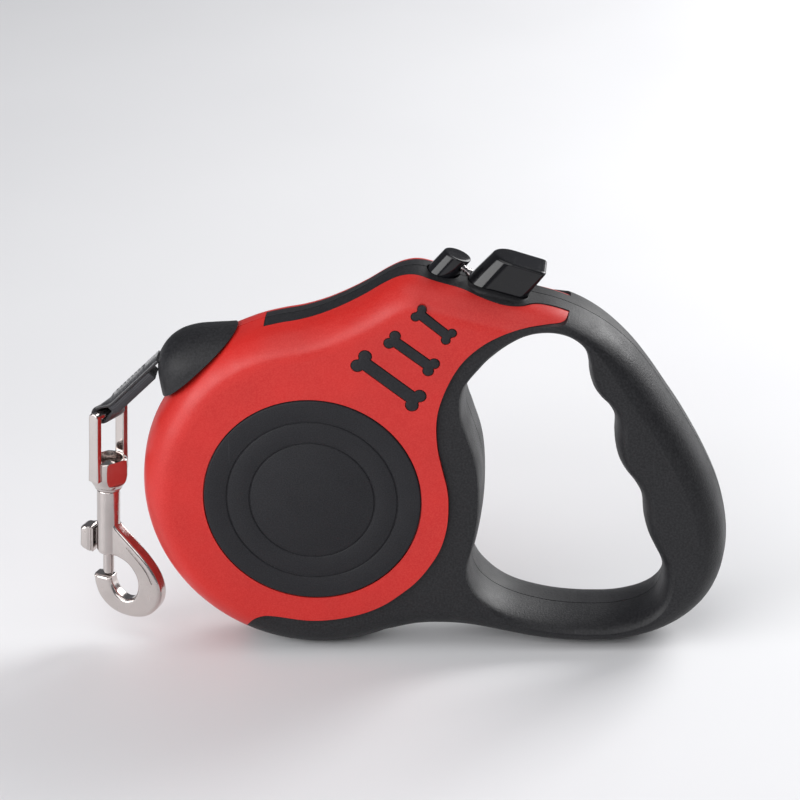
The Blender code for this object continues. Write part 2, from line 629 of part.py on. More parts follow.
# ---------------------------------------------------------------- buttons
def slanted(obj, height, slope, turn):
    """Cut the top of a button along a slanted plane, in the button's own frame."""
    size = 40
    cutter = block(obj.name + "_slant", (size, size, size), (0, 0, size / 2), cutter=True, lift=False)
    cutter.matrix_world = turn @ Matrix.Translation((0, 0, height * MM)) @ Matrix.Rotation(-slope, 4, "Y")
    boolean(obj, cutter)


def buttons():
    brake_turn = button_frame()
    brake = flat("brake_button", brake_outline(), 72.5, 97, GLOSS, plane="XY", lift=False)
    brake.matrix_world = brake_turn
    slanted(brake, BRAKE_TOP, math.radians(BRAKE_SLANT), brake_turn)
    leg = rod("brake_leg", 2.3, 46, 75, cutter=True)
    foot_low = SPOOL_RADIUS - RATCHET_DEPTH + FOOT_ROOM + BRAKE_TRAVEL
    foot = block("brake_foot", (3.0, 14, 9), (0, 0, foot_low + 4.5), cutter=True, lift=False)
    for extra in (leg, foot):
        extra.matrix_world = brake_turn
        boolean(brake, extra, "UNION")
    spring = coil("brake_spring", 3.6, 0.35, 60.4, 71.8, 5)
    spring.matrix_world = brake_turn

    lock_turn = button_frame(LOCK_AHEAD)
    lock = rod("lock_button", LOCK_RADIUS, 68, 92, GLOSS, segments=24)
    lock.matrix_world = lock_turn
    slanted(lock, LOCK_TOP, math.radians(LOCK_SLANT), lock_turn)
    stem = rod("lock_stem", 1.5, 54, 72, cutter=True, segments=12)
    stem.matrix_world = lock_turn
    boolean(lock, stem, "UNION")
    spring = coil("lock_spring", 2.7, 0.3, 60.4, 67.4, 5)
    spring.matrix_world = lock_turn

    pin_turn = brake_turn @ Matrix.Translation(Vector((-11.0, -2.4, 78.3)) * MM) @ Matrix.Rotation(
        math.radians(90), 4, "Y")
    pin_seat = rod("lock_pin_seat", 1.3, -0.3, 6, cutter=True, segments=12)
    pin = rod("lock_pin", 1.0, 0, 3.2, PLATED, segments=14)
    head = rod("lock_pin_head", 1.3, 2.5, 3.2, cutter=True, segments=14)
    for obj in (pin_seat, pin, head):
        obj.matrix_world = pin_turn
    boolean(lock, pin_seat)
    boolean(pin, head, "UNION")

    guide = block("button_guide", (22, 2 * HUMP_HALF - 0.8, 2.2), (-6.5, 0, 58.0), INNER, lift=False)
    guide.matrix_world = brake_turn
    for name, turn, radius in (("brake_guide_hole", brake_turn, 2.75), ("lock_guide_hole", lock_turn, 1.9)):
        hole = rod(name, radius, 50, 66, cutter=True)
        hole.matrix_world = turn
        boolean(guide, hole)


# ---------------------------------------------------------------- strap and snap hook
def hook_frame(turn):
    """A frame at the eye's bar, its Z axis up along the hook, turned about that axis."""
    place = Matrix.Translation(HUB + Vector(EYE_CENTRE) * MM)
    lean = Matrix.Rotation(math.radians(HOOK_LEAN), 4, "Y")
    return place @ lean @ Matrix.Rotation(math.radians(turn), 4, "Z")


def strap_end():
    """Sewn strap from the mouth to the eye: single tape, then the doubled and stitched part with its loop."""
    start, end = Vector((MOUTH_X, TAPE_HEIGHT)), Vector((EYE_CENTRE[0], EYE_CENTRE[2]))
    along = (end - start).normalized()
    across = Vector((along.y, -along.x))
    length = (end - start).length
    local = [(1.0, 0.4), (4.0, 0.4), (4.6, 1.4), (length - 1.5, 1.4), (length - 1.5, -1.4), (4.6, -1.4),
             (4.0, -0.4), (1.0, -0.4)]
    side_view = [tuple(start + along * u + across * v) for u, v in local]
    strap = flat("strap_end", side_view, -TAPE_HALF, TAPE_HALF, TAPE)
    loop_turn = hook_frame(EYE_TURN) @ Matrix.Rotation(math.radians(90), 4, "Y")
    loop = rod("strap_loop", 3.2, -3.6, 3.6, cutter=True)
    eyelet = rod("strap_eyelet", 1.75, -8, 8, cutter=True)
    for tool in (loop, eyelet):
        tool.matrix_world = loop_turn
    boolean(strap, loop, "UNION")
    boolean(strap, eyelet)
    return strap


def swivel_eye():
    """Stirrup with a round cup at its base; the bar at the top carries the strap."""
    turn = hook_frame(EYE_TURN)
    eye = rod("swivel_eye", 5.4, -24, -14.6, PLATED, segments=28)
    eye.matrix_world = turn
    for sign in (-1, 1):
        flank = block(f"eye_flank_{sign}", (16, 6, 14), (0, sign * 7.1, -19), cutter=True, lift=False)
        flank.matrix_world = turn
        boolean(eye, flank)
        leg = block(f"eye_leg_{sign}", (2.7, 4.4, 18), (sign * EYE_HALF, 0, -9.5), cutter=True, lift=False)
        soften(leg, 0.6, 1)
        leg.matrix_world = turn
        boolean(eye, leg, "UNION")
    cup = rod("eye_cup", 3.7, -18.6, -10, cutter=True, segments=20)
    stem_hole = rod("eye_stem_hole", 1.8, -26, -10, cutter=True, segments=16)
    bar = rod("eye_bar", 1.4, -EYE_HALF - 0.2, EYE_HALF + 0.2, cutter=True)
    for tool in (cup, stem_hole):
        tool.matrix_world = turn
        boolean(eye, tool)
    bar.matrix_world = turn @ Matrix.Rotation(math.radians(90), 4, "Y")
    boolean(eye, bar, "UNION")
    return eye


SNAP_OUTER = [(2.2, -24.4), (2.2, -33.0), (3.6, -35.6), (8.6, -40.1), (13.2, -44.4), (16.4, -48.8),
              (17.8, -53.5), (16.9, -58), (13.4, -61.8), (8, -63.2), (2.4, -62.2), (-1.6, -59),
              (-3.4, -55), (-3.7, -51.8)]
SNAP_INNER = [(1.8, -51.8), (2.2, -54.2), (3.9, -56.8), (6.7, -57.9), (9.4, -56.5), (10.4, -53), (9.6, -49.4),
              (7, -46.3), (3.6, -44.8)]


def snap_hook():
    turn = hook_frame(SNAP_TURN)
    outline = [(0, -24.4)] + SNAP_OUTER[:1] + spline(SNAP_OUTER[1:], 2) + spline(SNAP_INNER, 2) + [(0, -44.6)]
    body = flat("snap_body", outline, -2.3, 2.3, PLATED, lift=False)
    soften(body, 0.9, 2, 50)
    body.matrix_world = turn
    barrel = rod("snap_barrel", 3.3, -44.7, -24.3, cutter=True, segments=24)
    bore = rod("snap_bore", 1.95, -50, -28, cutter=True, segments=16)
    stem_seat = rod("snap_stem_seat", 1.6, -27, -20, cutter=True, segments=16)
    slot = block("snap_slot", (5, 1.9, 13.5), (-3, 0, -36.2), cutter=True, lift=False)
    for tool, operation in ((barrel, "UNION"), (bore, "DIFFERENCE"), (stem_seat, "DIFFERENCE"),
                            (slot, "DIFFERENCE")):
        tool.matrix_world = turn
        boolean(body, tool, operation)

    stem = turned("swivel_stem", [(0, -16.2), (1.6, -16.5), (2.6, -17.3), (2.8, -18.3), (1.4, -18.3),
                                  (1.4, -26.8), (0, -26.8)], PLATED, steps=20, along="Z")
    stem.matrix_world = turn

    bolt = rod("thumb_bolt", 1.6, -51.4, -36, PLATED)
    bolt.matrix_world = turn
    neck = block("bolt_neck", (5, 1.3, 4.6), (-3.2, 0, -40.0), cutter=True, lift=False)
    knob = block("bolt_knob", (4.4, 5.0, 8.4), (-6.7, 0, -40.8), cutter=True, lift=False)
    soften(knob, 1.6, 3, 30)
    for tool in (neck, knob):
        tool.matrix_world = turn
        boolean(bolt, tool, "UNION")
    spring = coil("bolt_spring", 1.25, 0.22, -35.6, -28.4, 5, per_turn=10)
    spring.matrix_world = turn


# ---------------------------------------------------------------- build
covers = front_cover()
frame_front = front_frame()
bones = front_bones()
disc = front_hub_disc()
for piece in [covers, disc] + bones:
    mirrored(piece, piece.name.replace("front", "rear"))
frame_rear = mirrored(frame_front, "rear_frame")
screws(frame_front, frame_rear)
nose_cap()
spool_set()
tape_run()
buttons()
strap_end()
swivel_eye()
snap_hook()
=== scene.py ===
"""Studio scene of a retractable leash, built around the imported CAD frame.

Outlines are in millimetres around the spool's axis (the hub), x towards the handle and z up, as in the CAD.
"""
import math

import bmesh
import bpy
from mathutils import Matrix, Vector


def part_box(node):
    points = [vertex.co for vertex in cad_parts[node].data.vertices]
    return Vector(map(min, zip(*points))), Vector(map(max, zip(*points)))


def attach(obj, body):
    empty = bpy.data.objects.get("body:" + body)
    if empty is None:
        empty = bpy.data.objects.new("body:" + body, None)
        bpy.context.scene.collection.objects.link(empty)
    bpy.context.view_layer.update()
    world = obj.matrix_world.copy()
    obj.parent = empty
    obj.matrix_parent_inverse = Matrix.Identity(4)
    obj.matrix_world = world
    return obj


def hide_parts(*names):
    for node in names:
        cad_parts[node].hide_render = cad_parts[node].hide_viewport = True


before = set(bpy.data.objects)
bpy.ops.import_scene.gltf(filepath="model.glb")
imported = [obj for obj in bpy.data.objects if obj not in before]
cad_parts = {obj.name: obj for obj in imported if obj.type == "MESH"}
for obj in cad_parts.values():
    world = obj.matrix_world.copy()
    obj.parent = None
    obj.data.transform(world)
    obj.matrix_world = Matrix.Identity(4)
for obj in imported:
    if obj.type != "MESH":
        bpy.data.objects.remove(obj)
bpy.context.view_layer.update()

MM = 0.001
disc_low, disc_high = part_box("front_hub_disc")
HUB = Vector(((disc_low.x + disc_high.x) / 2, 0, (disc_low.z + disc_high.z) / 2))

# ---------------------------------------------------------------- camera
AZIMUTH, ELEVATION, ROLL = math.radians(5.2), math.radians(24.4), math.radians(-2.7)
LENS, SENSOR = 195.0, 36.0
VIEW_WIDTH = 0.2256        # what the frame takes in at the object's distance
right = Vector((math.cos(AZIMUTH), math.sin(AZIMUTH), 0))
back = Vector((math.sin(AZIMUTH) * math.cos(ELEVATION), -math.cos(AZIMUTH) * math.cos(ELEVATION),
               math.sin(ELEVATION)))
up = back.cross(right)
aim = HUB + Vector((0, -0.015, 0)) + right * 0.02612 + up * 0.02714
camera = bpy.data.objects.new("camera", bpy.data.cameras.new("camera"))
bpy.context.scene.collection.objects.link(camera)
camera.data.lens = LENS
camera.data.sensor_width = SENSOR
camera_axes = (right * math.cos(ROLL) + up * math.sin(ROLL),
               up * math.cos(ROLL) - right * math.sin(ROLL), back)
camera_pose = Matrix(camera_axes).transposed().to_4x4()
camera_pose.translation = aim + back * (VIEW_WIDTH * LENS / SENSOR)
camera.matrix_world = camera_pose
bpy.context.scene.camera = camera

# ---------------------------------------------------------------- dimensions
# As in the CAD, but for BORDER_GAP, the two button tops and slant, and the ends of TOP_LINE and NOSE_LINE,
# which differ from it by up to 0.5 mm and 1 degree.
CASE_RADIUS = 49.4
COVER_HALF = 14.7
FRAME_HALF = 13.6
HALF_GAP = 0.15
GAP = 0.3
BORDER_GAP = 0.06          # on each side of the joint between red and black
CAVITY_RADIUS = 44.4
CAVITY_HALF = 12.0
WALL = 3.0
DISC_RADIUS = 30.7
DISC_FACE = 15.0
DISC_FLOOR = 13.7
DISC_RINGS = (24.2, 17.7)
PACK_RADIUS = 38.0
TAPE_HALF = 3.7
TAPE_THICKNESS = 0.6
TAPE_HEIGHT = PACK_RADIUS + 0.35 + TAPE_THICKNESS / 2
MOUTH_X = -42.4
BRAKE_ANGLE = 48.2
BRAKE_FOOT = 80.4
BRAKE_BACK = 8.2
BRAKE_FRONT = 6.9
BRAKE_HALF = 5.7
BRAKE_TOP = 89.7          # 90.2 in the CAD
BRAKE_SLANT = 23.0        # 22 in the CAD
LOCK_AHEAD = 13.5
LOCK_RADIUS = 3.9
LOCK_TOP = 79.6           # 80.1 in the CAD
LOCK_SLANT = 18.0
BUTTON_GAP = 0.4
HUMP_HALF = 10.2
TIP_HALF = 8.5
TIP_WALL = 2.6
EYE_CENTRE = (-58.4, 0.0, 21.6)
HOOK_LEAN = 4.0
EYE_TURN = 60.0
SNAP_TURN = -20.0
EYE_HALF = 5.9

TOP_LINE = [(-23, 45.6), (-19, 47.5), (-13.5, 49.5), (-7.5, 50.9), (-1.5, 51.95), (4.5, 53.7), (10.5, 56.2),
            (16.5, 59.3), (22.5, 62.9), (27, 64.9), (31.5, 65.4), (36.5, 64.2), (45, 61.8), (57, 58.4),
            (66, 56.2)]
HANDLE_LINE = [(72, 54.2), (78.2, 51.2), (84.4, 47.0), (90.6, 41.0), (95.6, 34.2), (99.8, 27.3), (104, 20.2),
               (108, 12.4), (111.4, 4.8), (114, -2.4), (115.6, -9.5), (116.2, -17), (115.6, -24),
               (113.7, -30.4), (110.5, -35.9), (105.6, -40.7), (99, -44.6), (91.2, -47.2), (83, -48.5),
               (73, -48.6), (62.8, -47.7), (53.6, -46.0), (43, -44.1), (35, -43.6), (27.4, -43.9)]
HOLE_TOP = [(47.9, 4), (47.2, 11), (45.2, 18.5), (43.6, 25), (44.5, 32.4), (49.4, 38.5), (53.5, 42.1),
            (57.5, 45.0), (61.5, 47.1), (65.5, 48.1), (70, 48.0), (74, 46.6), (77.2, 43.6)]
HOLE_GRIP = [(78.3, 39.4), (78.5, 35.0), (79.4, 31.2), (81.2, 28.2), (83.5, 25.6), (85, 22.4), (85.3, 18.6),
             (85.1, 14.2), (85.8, 9.6), (87.5, 5.8), (90, 2.2), (91.8, -1.4), (92.5, -5.2), (92.7, -9.6),
             (93.7, -14.3), (95.4, -18.5), (97, -22.2), (97.8, -26.2)]
HOLE_BOTTOM = [(97.4, -31), (95.4, -35.2), (91, -38.4), (84, -40.3), (76, -40.6), (68, -40), (61, -38.6),
               (54.4, -36.4), (48.8, -33.2), (44.8, -28.8), (43.5, -23), (45.8, -15), (47.5, -6)]
RED_BORDER = [(70, 59), (72.4, 57), (73.8, 55), (73.6, 53), (72, 51.8), (67.5, 51.9), (62, 51.6),
              (56.5, 50.3), (50.9, 47.6), (45.3, 43.1), (41.2, 37.6), (37.7, 30.1), (36.1, 23.3),
              (36.1, 15.6), (37.2, 8.8), (38.3, 2.9),
              (38.5, -2.2), (37.8, -9), (35.7, -15.8), (32.4, -21.3), (28.3, -26.3), (23.5, -30.3),
              (18.5, -33.7), (12.3, -36.3), (4.5, -38), (-3.3, -38.3), (-12.5, -36.9), (-16.4, -36.9),
              (-19.6, -38.9), (-22.5, -44.4), (-24.5, -50)]
STRIP_EDGE = [(-12, 5.0), (10, 5.0), (28, 5.3), (37, 6.6), (44, 7.0), (49, 8.4), (55, 9.2), (60.5, 8.4),
              (66, 5.8), (78, 5.0)]
HUMP_ROOM = [(-4, 38), (-4, 46.4), (5, 49.6), (11.5, 52.6), (17.5, 56.2), (23.5, 59.8), (29.5, 62),
             (36, 60.8), (45, 58.4), (56, 55), (60, 52.6), (55.5, 48.8), (51, 45.4), (46.8, 41.4), (42, 35),
             (36, 20)]
NOSE_LINE = [(-41.8, 23.8), (-42.4, 28), (-43, 32.3), (-43.2, 36), (-42.4, 39.8), (-40, 43.2), (-36.4, 45.7),
             (-32, 47.0), (-27.5, 47.4), (-22.5, 47.6), (-18.6, 47.9)]
NOSE_TRIM = [(-46, 24.6), (-14, 52.9), (20, 52.9), (20, 0), (-46, 0)]
NOSE_INNER = [(-13, 46.6), (-8, 42), (-8, 34), (-14, 22), (-24, 12), (-33, 11), (-39, 15)]
COVER_CROWN = [(0, 0), (5, 0.5), (8.5, 1.5), (11, 3.0), (13, 4.9), (14.3, 7.2), (COVER_HALF, 9.6)]
FRAME_CROWN = [(0, 0), (5, 0.5), (8.5, 1.5), (11, 3.1), (12.6, 5.0), (FRAME_HALF, 7.6)]
NOSE_CROWN = [(0, 0), (4, 0.5), (7.5, 1.9), (10, 4.0), (11.6, 6.6), (12.4, 10)]
BONES = [("large", (15.9, 42.7), (30.6, 30.5), 1.8, 1.75, 1.6),
         ("medium", (24.8, 49.1), (35.3, 40.6), 1.4, 1.45, 1.25),
         ("small", (32.5, 56.9), (40.6, 49.8), 1.4, 1.2, 1.12)]
SCREWS = [("frame_screw_belly", 38.0, -37.6), ("frame_screw_heel", 102.0, -36.0),
          ("frame_screw_toe", 83.8, 40.6)]


# ---------------------------------------------------------------- shape helpers
def spline(points, steps=6, closed=False):
    """Catmull-Rom curve through the points."""
    count = len(points)
    curve = []
    for i in range(count if closed else count - 1):
        if closed:
            a, b, c, d = (points[(i + k) % count] for k in (-1, 0, 1, 2))
        else:
            a, b = points[max(i - 1, 0)], points[i]
            c, d = points[i + 1], points[min(i + 2, count - 1)]
        for step in range(steps):
            t = step / steps
            curve.append(tuple(
                0.5 * (2 * q + (r - p) * t + (2 * p - 5 * q + 4 * r - s) * t * t
                       + (3 * q - p - 3 * r + s) * t ** 3) for p, q, r, s in zip(a, b, c, d)))
    if not closed:
        curve.append(points[-1])
    return curve


def arc(centre, radius, start, end, count):
    """Points on a circle from one angle to another, degrees."""
    angles = [math.radians(start + (end - start) * i / (count - 1)) for i in range(count)]
    return [(centre[0] + radius * math.cos(a), centre[1] + radius * math.sin(a)) for a in angles]


def circle(radius, count):
    return arc((0, 0), radius, 0, 360, count + 1)[:-1]


def inward_normals(outline):
    area = sum(a[0] * b[1] - b[0] * a[1] for a, b in zip(outline, outline[1:] + outline[:1]))
    turn = 1 if area > 0 else -1
    normals = []
    for i in range(len(outline)):
        before, after = Vector(outline[i - 1]), Vector(outline[(i + 1) % len(outline)])
        along = (after - before).normalized()
        normals.append(Vector((-along.y, along.x)) * turn)
    return normals


def offset(outline, distance):
    """The outline moved inward by a distance (outward when negative)."""
    return [tuple(Vector(p) + n * distance) for p, n in zip(outline, inward_normals(outline))]


def room(point, normal, wall, limit=40):
    """Distance from a point along its normal to the nearest point of another wall, up to a limit."""
    near = limit
    for q in wall:
        x, z = q[0] - point[0], q[1] - point[1]
        length = math.hypot(x, z)
        if length < near and (x * normal.x + z * normal.y) > 0.8 * length:
            near = length
    return near


def smoothed(values, passes):
    """A closed row of numbers, evened out along its length."""
    for _ in range(passes):
        values = [(values[i - 1] + 2 * v + values[(i + 1) % len(values)]) / 4 for i, v in enumerate(values)]
    return values


def link(obj, collection=None):
    (collection or bpy.context.scene.collection).objects.link(obj)
    return obj


def mesh_object(name, bm, sharp=35):
    """A smooth-shaded object, with edges sharper than an angle kept sharp."""
    bmesh.ops.recalc_face_normals(bm, faces=bm.faces)
    mesh = bpy.data.meshes.new(name)
    bm.to_mesh(mesh)
    bm.free()
    mesh.shade_smooth()
    mesh.set_sharp_from_angle(angle=math.radians(sharp))
    return link(bpy.data.objects.new(name, mesh))


def rotation(angle, axis):
    return Matrix.Rotation(math.radians(angle), 4, axis)


def applied(obj):
    """A new mesh of the object with its modifiers applied."""
    return bpy.data.meshes.new_from_object(obj.evaluated_get(bpy.context.evaluated_depsgraph_get()))


def walls(bm, pairs):
    """A band of faces between the rings of each pair."""
    for a, b in pairs:
        for i in range(len(a)):
            bm.faces.new((a[i - 1], a[i], b[i], b[i - 1]))


def capped_walls(bm, rings):
    """A row of rings joined up and closed with one flat face at each end."""
    walls(bm, zip(rings, rings[1:]))
    bm.faces.new(rings[0])
    bm.faces.new(rings[-1][::-1])


def fill(bm, rings):
    """Triangles over the area that the rings bound together."""
    edges = [bm.edges.get((ring[i - 1], ring[i])) for ring in rings for i in range(len(ring))]
    bmesh.ops.triangle_fill(bm, use_beauty=True, use_dissolve=False, edges=edges)


def crowned(name, outer, crown, hole=None, hole_share=None, whole=False):
    """A plate with a crowned rim: rings of the outline, drawn in as they near the face."""
    crown = spline(crown, 4)
    if whole:
        crown = [(-depth, inset) for depth, inset in crown[:0:-1]] + crown
    else:
        crown = [(max(depth, HALF_GAP), inset) for depth, inset in crown]
        crown = crown[:1] + [level for level in crown[1:] if level[0] > HALF_GAP + 0.05]
    most = crown[-1][1]
    shares = [smoothed([min(1, 0.55 * room(p, n, hole or [(999, 999)]) / most)
                        for p, n in zip(outer, inward_normals(outer))], 30)]
    loops = [(outer, 1)]
    if hole:
        loops.append((hole, -1))
        shares.append(smoothed([hole_share(x, z) for x, z in hole], 30))
    bm = bmesh.new()
    caps = [[], []]
    for (outline, sign), share in zip(loops, shares):
        normals = [n * sign for n in inward_normals(outline)]
        rings = [[bm.verts.new(Vector((p[0] + n.x * inset * s, -depth, p[1] + n.y * inset * s)) * MM + HUB)
                  for p, n, s in zip(outline, normals, share)] for depth, inset in crown]
        caps[0].append(rings[0])
        caps[1].append(rings[-1])
        for low, high in zip(rings, rings[1:]):
            for i in range(len(low)):
                j = (i + 1) % len(low)
                bm.faces.new((low[i], low[j], high[j], high[i]))
    for rings in caps:
        fill(bm, rings)
    return mesh_object(name, bm)


def prism(name, outline, low, high, holes=(), plane="XZ", at_hub=True, matrix=None):
    """An outline of constant thickness, from low to high along its normal (Y for XZ, Z for XY)."""
    curve = bpy.data.curves.new(name, "CURVE")
    curve.dimensions = "2D"
    curve.fill_mode = "BOTH"
    curve.extrude = (high - low) / 2 * MM
    for loop in (outline, *holes):
        path = curve.splines.new("POLY")
        path.points.add(len(loop) - 1)
        for point, (u, v) in zip(path.points, loop):
            point.co = (u * MM, v * MM, 0, 1)
        path.use_cyclic_u = True
    drawn = link(bpy.data.objects.new(name + "_outline", curve))
    mesh = applied(drawn)
    bpy.data.objects.remove(drawn, do_unlink=True)
    bm = bmesh.new()
    bm.from_mesh(mesh)
    bpy.data.meshes.remove(mesh)
    bmesh.ops.remove_doubles(bm, verts=bm.verts, dist=0.000002)
    bmesh.ops.translate(bm, verts=bm.verts, vec=(0, 0, (low + high) / 2 * MM))
    if plane == "XZ":
        turn = Matrix(((1, 0, 0), (0, 0, 1), (0, 1, 0)))
        bmesh.ops.transform(bm, verts=bm.verts, matrix=turn.to_4x4())
    if at_hub:
        bmesh.ops.translate(bm, verts=bm.verts, vec=HUB)
    if matrix:
        bmesh.ops.transform(bm, verts=bm.verts, matrix=matrix)
    return mesh_object(name, bm)


def plate(name, outline, low, high, fillet, matrix=None, steps=3):
    """An outline of constant thickness along Y, its edges rounded, around the hub or in a frame."""
    levels = [(low + fillet * (1 - math.sin(a)), fillet * (1 - math.cos(a)))
              for a in (math.pi / 2 * i / steps for i in range(steps, -1, -1))]
    levels += [(low + high - y, inset) for y, inset in reversed(levels)]
    normals = inward_normals(outline)
    base = matrix or Matrix.Translation(HUB)
    bm = bmesh.new()
    rings = [[bm.verts.new(base @ (Vector((p[0] + n.x * inset, y, p[1] + n.y * inset)) * MM))
              for p, n in zip(outline, normals)] for y, inset in levels]
    walls(bm, zip(rings, rings[1:]))
    fill(bm, rings[:1])
    fill(bm, rings[-1:])
    return mesh_object(name, bm)


def lathe(name, profile, steps, matrix, sharp=35):
    """A (radius, height) profile turned about a frame's Z axis. A closed ring when it leaves the axis."""
    bm = bmesh.new()
    on_axis = profile[0][0] == 0 and profile[-1][0] == 0
    rings = []
    for r, h in profile:
        if r == 0:
            rings.append([bm.verts.new(matrix @ Vector((0, 0, h * MM)))])
        else:
            rings.append([bm.verts.new(matrix @ (Vector((r * math.cos(math.tau * i / steps),
                                                         r * math.sin(math.tau * i / steps), h)) * MM))
                          for i in range(steps)])
    pairs = list(zip(rings, rings[1:])) + ([] if on_axis else [(rings[-1], rings[0])])
    for a, b in pairs:
        for i in range(steps):
            if len(a) == 1:
                bm.faces.new((a[0], b[i - 1], b[i]))
            elif len(b) == 1:
                bm.faces.new((a[i - 1], a[i], b[0]))
            else:
                bm.faces.new((a[i - 1], a[i], b[i], b[i - 1]))
    return mesh_object(name, bm, sharp)


def box(name, size, centre, matrix=None):
    bm = bmesh.new()
    bmesh.ops.create_cube(bm, size=1)
    bmesh.ops.scale(bm, verts=bm.verts, vec=Vector(size) * MM)
    bmesh.ops.translate(bm, verts=bm.verts, vec=Vector(centre) * MM)
    bmesh.ops.transform(bm, verts=bm.verts, matrix=matrix or Matrix.Translation(HUB))
    return mesh_object(name, bm)


def cut(obj, other, operation="DIFFERENCE", solver="EXACT"):
    """A Boolean, applied at once. The other object is kept for further use."""
    modifier = obj.modifiers.new("cut", "BOOLEAN")
    modifier.operation = operation
    modifier.object = other
    modifier.solver = solver
    made = applied(obj)
    obj.modifiers.clear()
    old = obj.data
    obj.data = made
    bpy.data.meshes.remove(old)
    return obj


def discard(*objects):
    for obj in objects:
        bpy.data.objects.remove(obj, do_unlink=True)


def finish_shell(obj, angle=32):
    obj.data.shade_smooth()
    obj.data.set_sharp_from_angle(angle=math.radians(angle))
    weighted = obj.modifiers.new("normals", "WEIGHTED_NORMAL")
    weighted.keep_sharp = True
    weighted.weight = 80
    return obj


def mirrored(obj, name):
    """The rear half: the front piece mirrored across the middle plane."""
    mesh = obj.data.copy()
    mesh.transform(Matrix.Scale(-1, 4, (0, 1, 0)))
    mesh.flip_normals()
    return link(bpy.data.objects.new(name, mesh))


# ---------------------------------------------------------------- shells
def case_outline():
    bottom = arc((0, 0), CASE_RADIUS, 152, 330, 150)
    top = spline(HANDLE_LINE[3::-1] + TOP_LINE[::-1] + [(-30.2, 40.8), (-37.4, 33), bottom[0]], 6)
    return bottom + [(52, -20), (64, -14), (80, -6), (94, 5), (101, 16), (101, 26), (97, 34)] + top[:-1]


def frame_outline():
    bottom = arc((0, 0), CASE_RADIUS, 152, 292, 120)
    line = spline([(19.5, -45.6)] + HANDLE_LINE[::-1] + TOP_LINE[::-1] + [(-30, 41), (-37.5, 33)], 6)
    return bottom + line[1:-1]


def hole_share(x, z):
    """The hole's rim is nearly square by the case, and most rounded at the grip."""
    if x < 50:
        return 0.15
    if z < -28:
        return 0.42
    return 0.3 if z > 35 else 0.55


def top_height(x):
    line = TOP_LINE + HANDLE_LINE[:3]
    for (x0, z0), (x1, z1) in zip(line, line[1:]):
        if x0 <= x <= x1:
            return z0 + (z1 - z0) * (x - x0) / (x1 - x0)
    return line[-1][1]


def strip_solid(name, grow, drop):
    """The black strip on top: its plan shape, kept to a band under the top line."""
    edge = spline(STRIP_EDGE, 10)
    plan = [(x, -(w + grow)) for x, w in edge] + [(x, w + grow) for x, w in reversed(edge)]
    plan = [(x - grow if x < 0 else x, y) for x, y in plan]
    strip = prism(name, plan, 30, 80, plane="XY")
    stations = [-16, -7.5, 4.5, 10.5, 16.5, 22.5, 27, 31.5, 36.5, 45, 57, 66, 72, 78.2, 82]
    band = [(x, top_height(min(max(x, -23), 78.2)) - drop) for x in stations]
    band = spline(band, 4)
    band += [(x, z + drop + 12) for x, z in reversed(band)]
    limit = prism(name + "_band", band, -14, 14)
    cut(strip, limit, "INTERSECT")
    discard(limit)
    return strip


def brake_outline(grow=0.0, steps=16):
    """The large button in plan: a rounded block, blunter towards the hand."""
    points = []
    for x, radius, start in ((BRAKE_BACK, 1.9, 0), (-BRAKE_FRONT, 5.5, 90)):
        inner = x - math.copysign(radius, x)
        points += arc((inner, BRAKE_HALF - radius), radius + grow, start, start + 90, steps)
    return points + [(x, -y) for x, y in reversed(points)]


def button_frame(ahead=0.0):
    """A frame whose Z axis is a button's axis, out from the hub or beside it."""
    turn = rotation(90 - BRAKE_ANGLE, "Y")
    return Matrix.Translation(HUB) @ turn @ Matrix.Translation((-ahead * MM, 0, 0))


def bone_outline(start, end, spread, knob, shaft):
    a, b = Vector(start), Vector(end)
    along = (b - a).normalized()
    across = Vector((-along.y, along.x))
    tip = (b - a).length / 2
    shaft_angle = 180 - math.degrees(math.asin((shaft - spread) / knob))
    local = []
    for sign in (1, -1):
        upper = arc((tip, spread), knob, shaft_angle - 8, -60, 28)
        side = upper + [(x, -z) for x, z in reversed(upper)]
        local += [(x * sign, z * sign) for x, z in side]
    middle = (a + b) / 2
    return [tuple(middle + along * x + across * z) for x, z in local]


brake_turn, lock_turn = button_frame(), button_frame(LOCK_AHEAD)
hub_room = prism("hub_room", circle(CAVITY_RADIUS, 120), -CAVITY_HALF, CAVITY_HALF)
hump_room = prism("hump_room", HUMP_ROOM, -HUMP_HALF, HUMP_HALF)
cut(hub_room, hump_room, "UNION")
brake_hole = prism("brake_hole", brake_outline(BUTTON_GAP), 66.4, 94.4, plane="XY", at_hub=False,
                   matrix=brake_turn)
lock_hole = prism("lock_hole", circle(LOCK_RADIUS + BUTTON_GAP, 64), 60, 88, plane="XY", at_hub=False,
                  matrix=lock_turn)
strip_for_cover = strip_solid("strip_for_cover", BORDER_GAP, WALL + GAP)
strip_for_frame = strip_solid("strip_for_frame", -BORDER_GAP, WALL)
tip_line = [(61, 48)] + [(x, top_height(x) - TIP_WALL) for x in (61, 66, 78)] + [(80, 44)]
tip_for_cover = prism("tip_for_cover", tip_line, -TIP_HALF, TIP_HALF)
tip_for_frame = prism("tip_for_frame", offset(tip_line, GAP), GAP - TIP_HALF, TIP_HALF - GAP)
border = spline(RED_BORDER, 6) + [(-60, -56), (-60, 80), (70, 80)]
red_for_frame = prism("red_for_frame", offset(border, -BORDER_GAP), -20, 20)
cut(red_for_frame, strip_for_frame)
cut(red_for_frame, tip_for_frame)
red_for_cover = prism("red_for_cover", offset(border, BORDER_GAP), -20, 20)
mouth_room = box("mouth_room", (30, 2 * TAPE_HALF + 2.4, 3.6), (-36, 0, TAPE_HEIGHT))

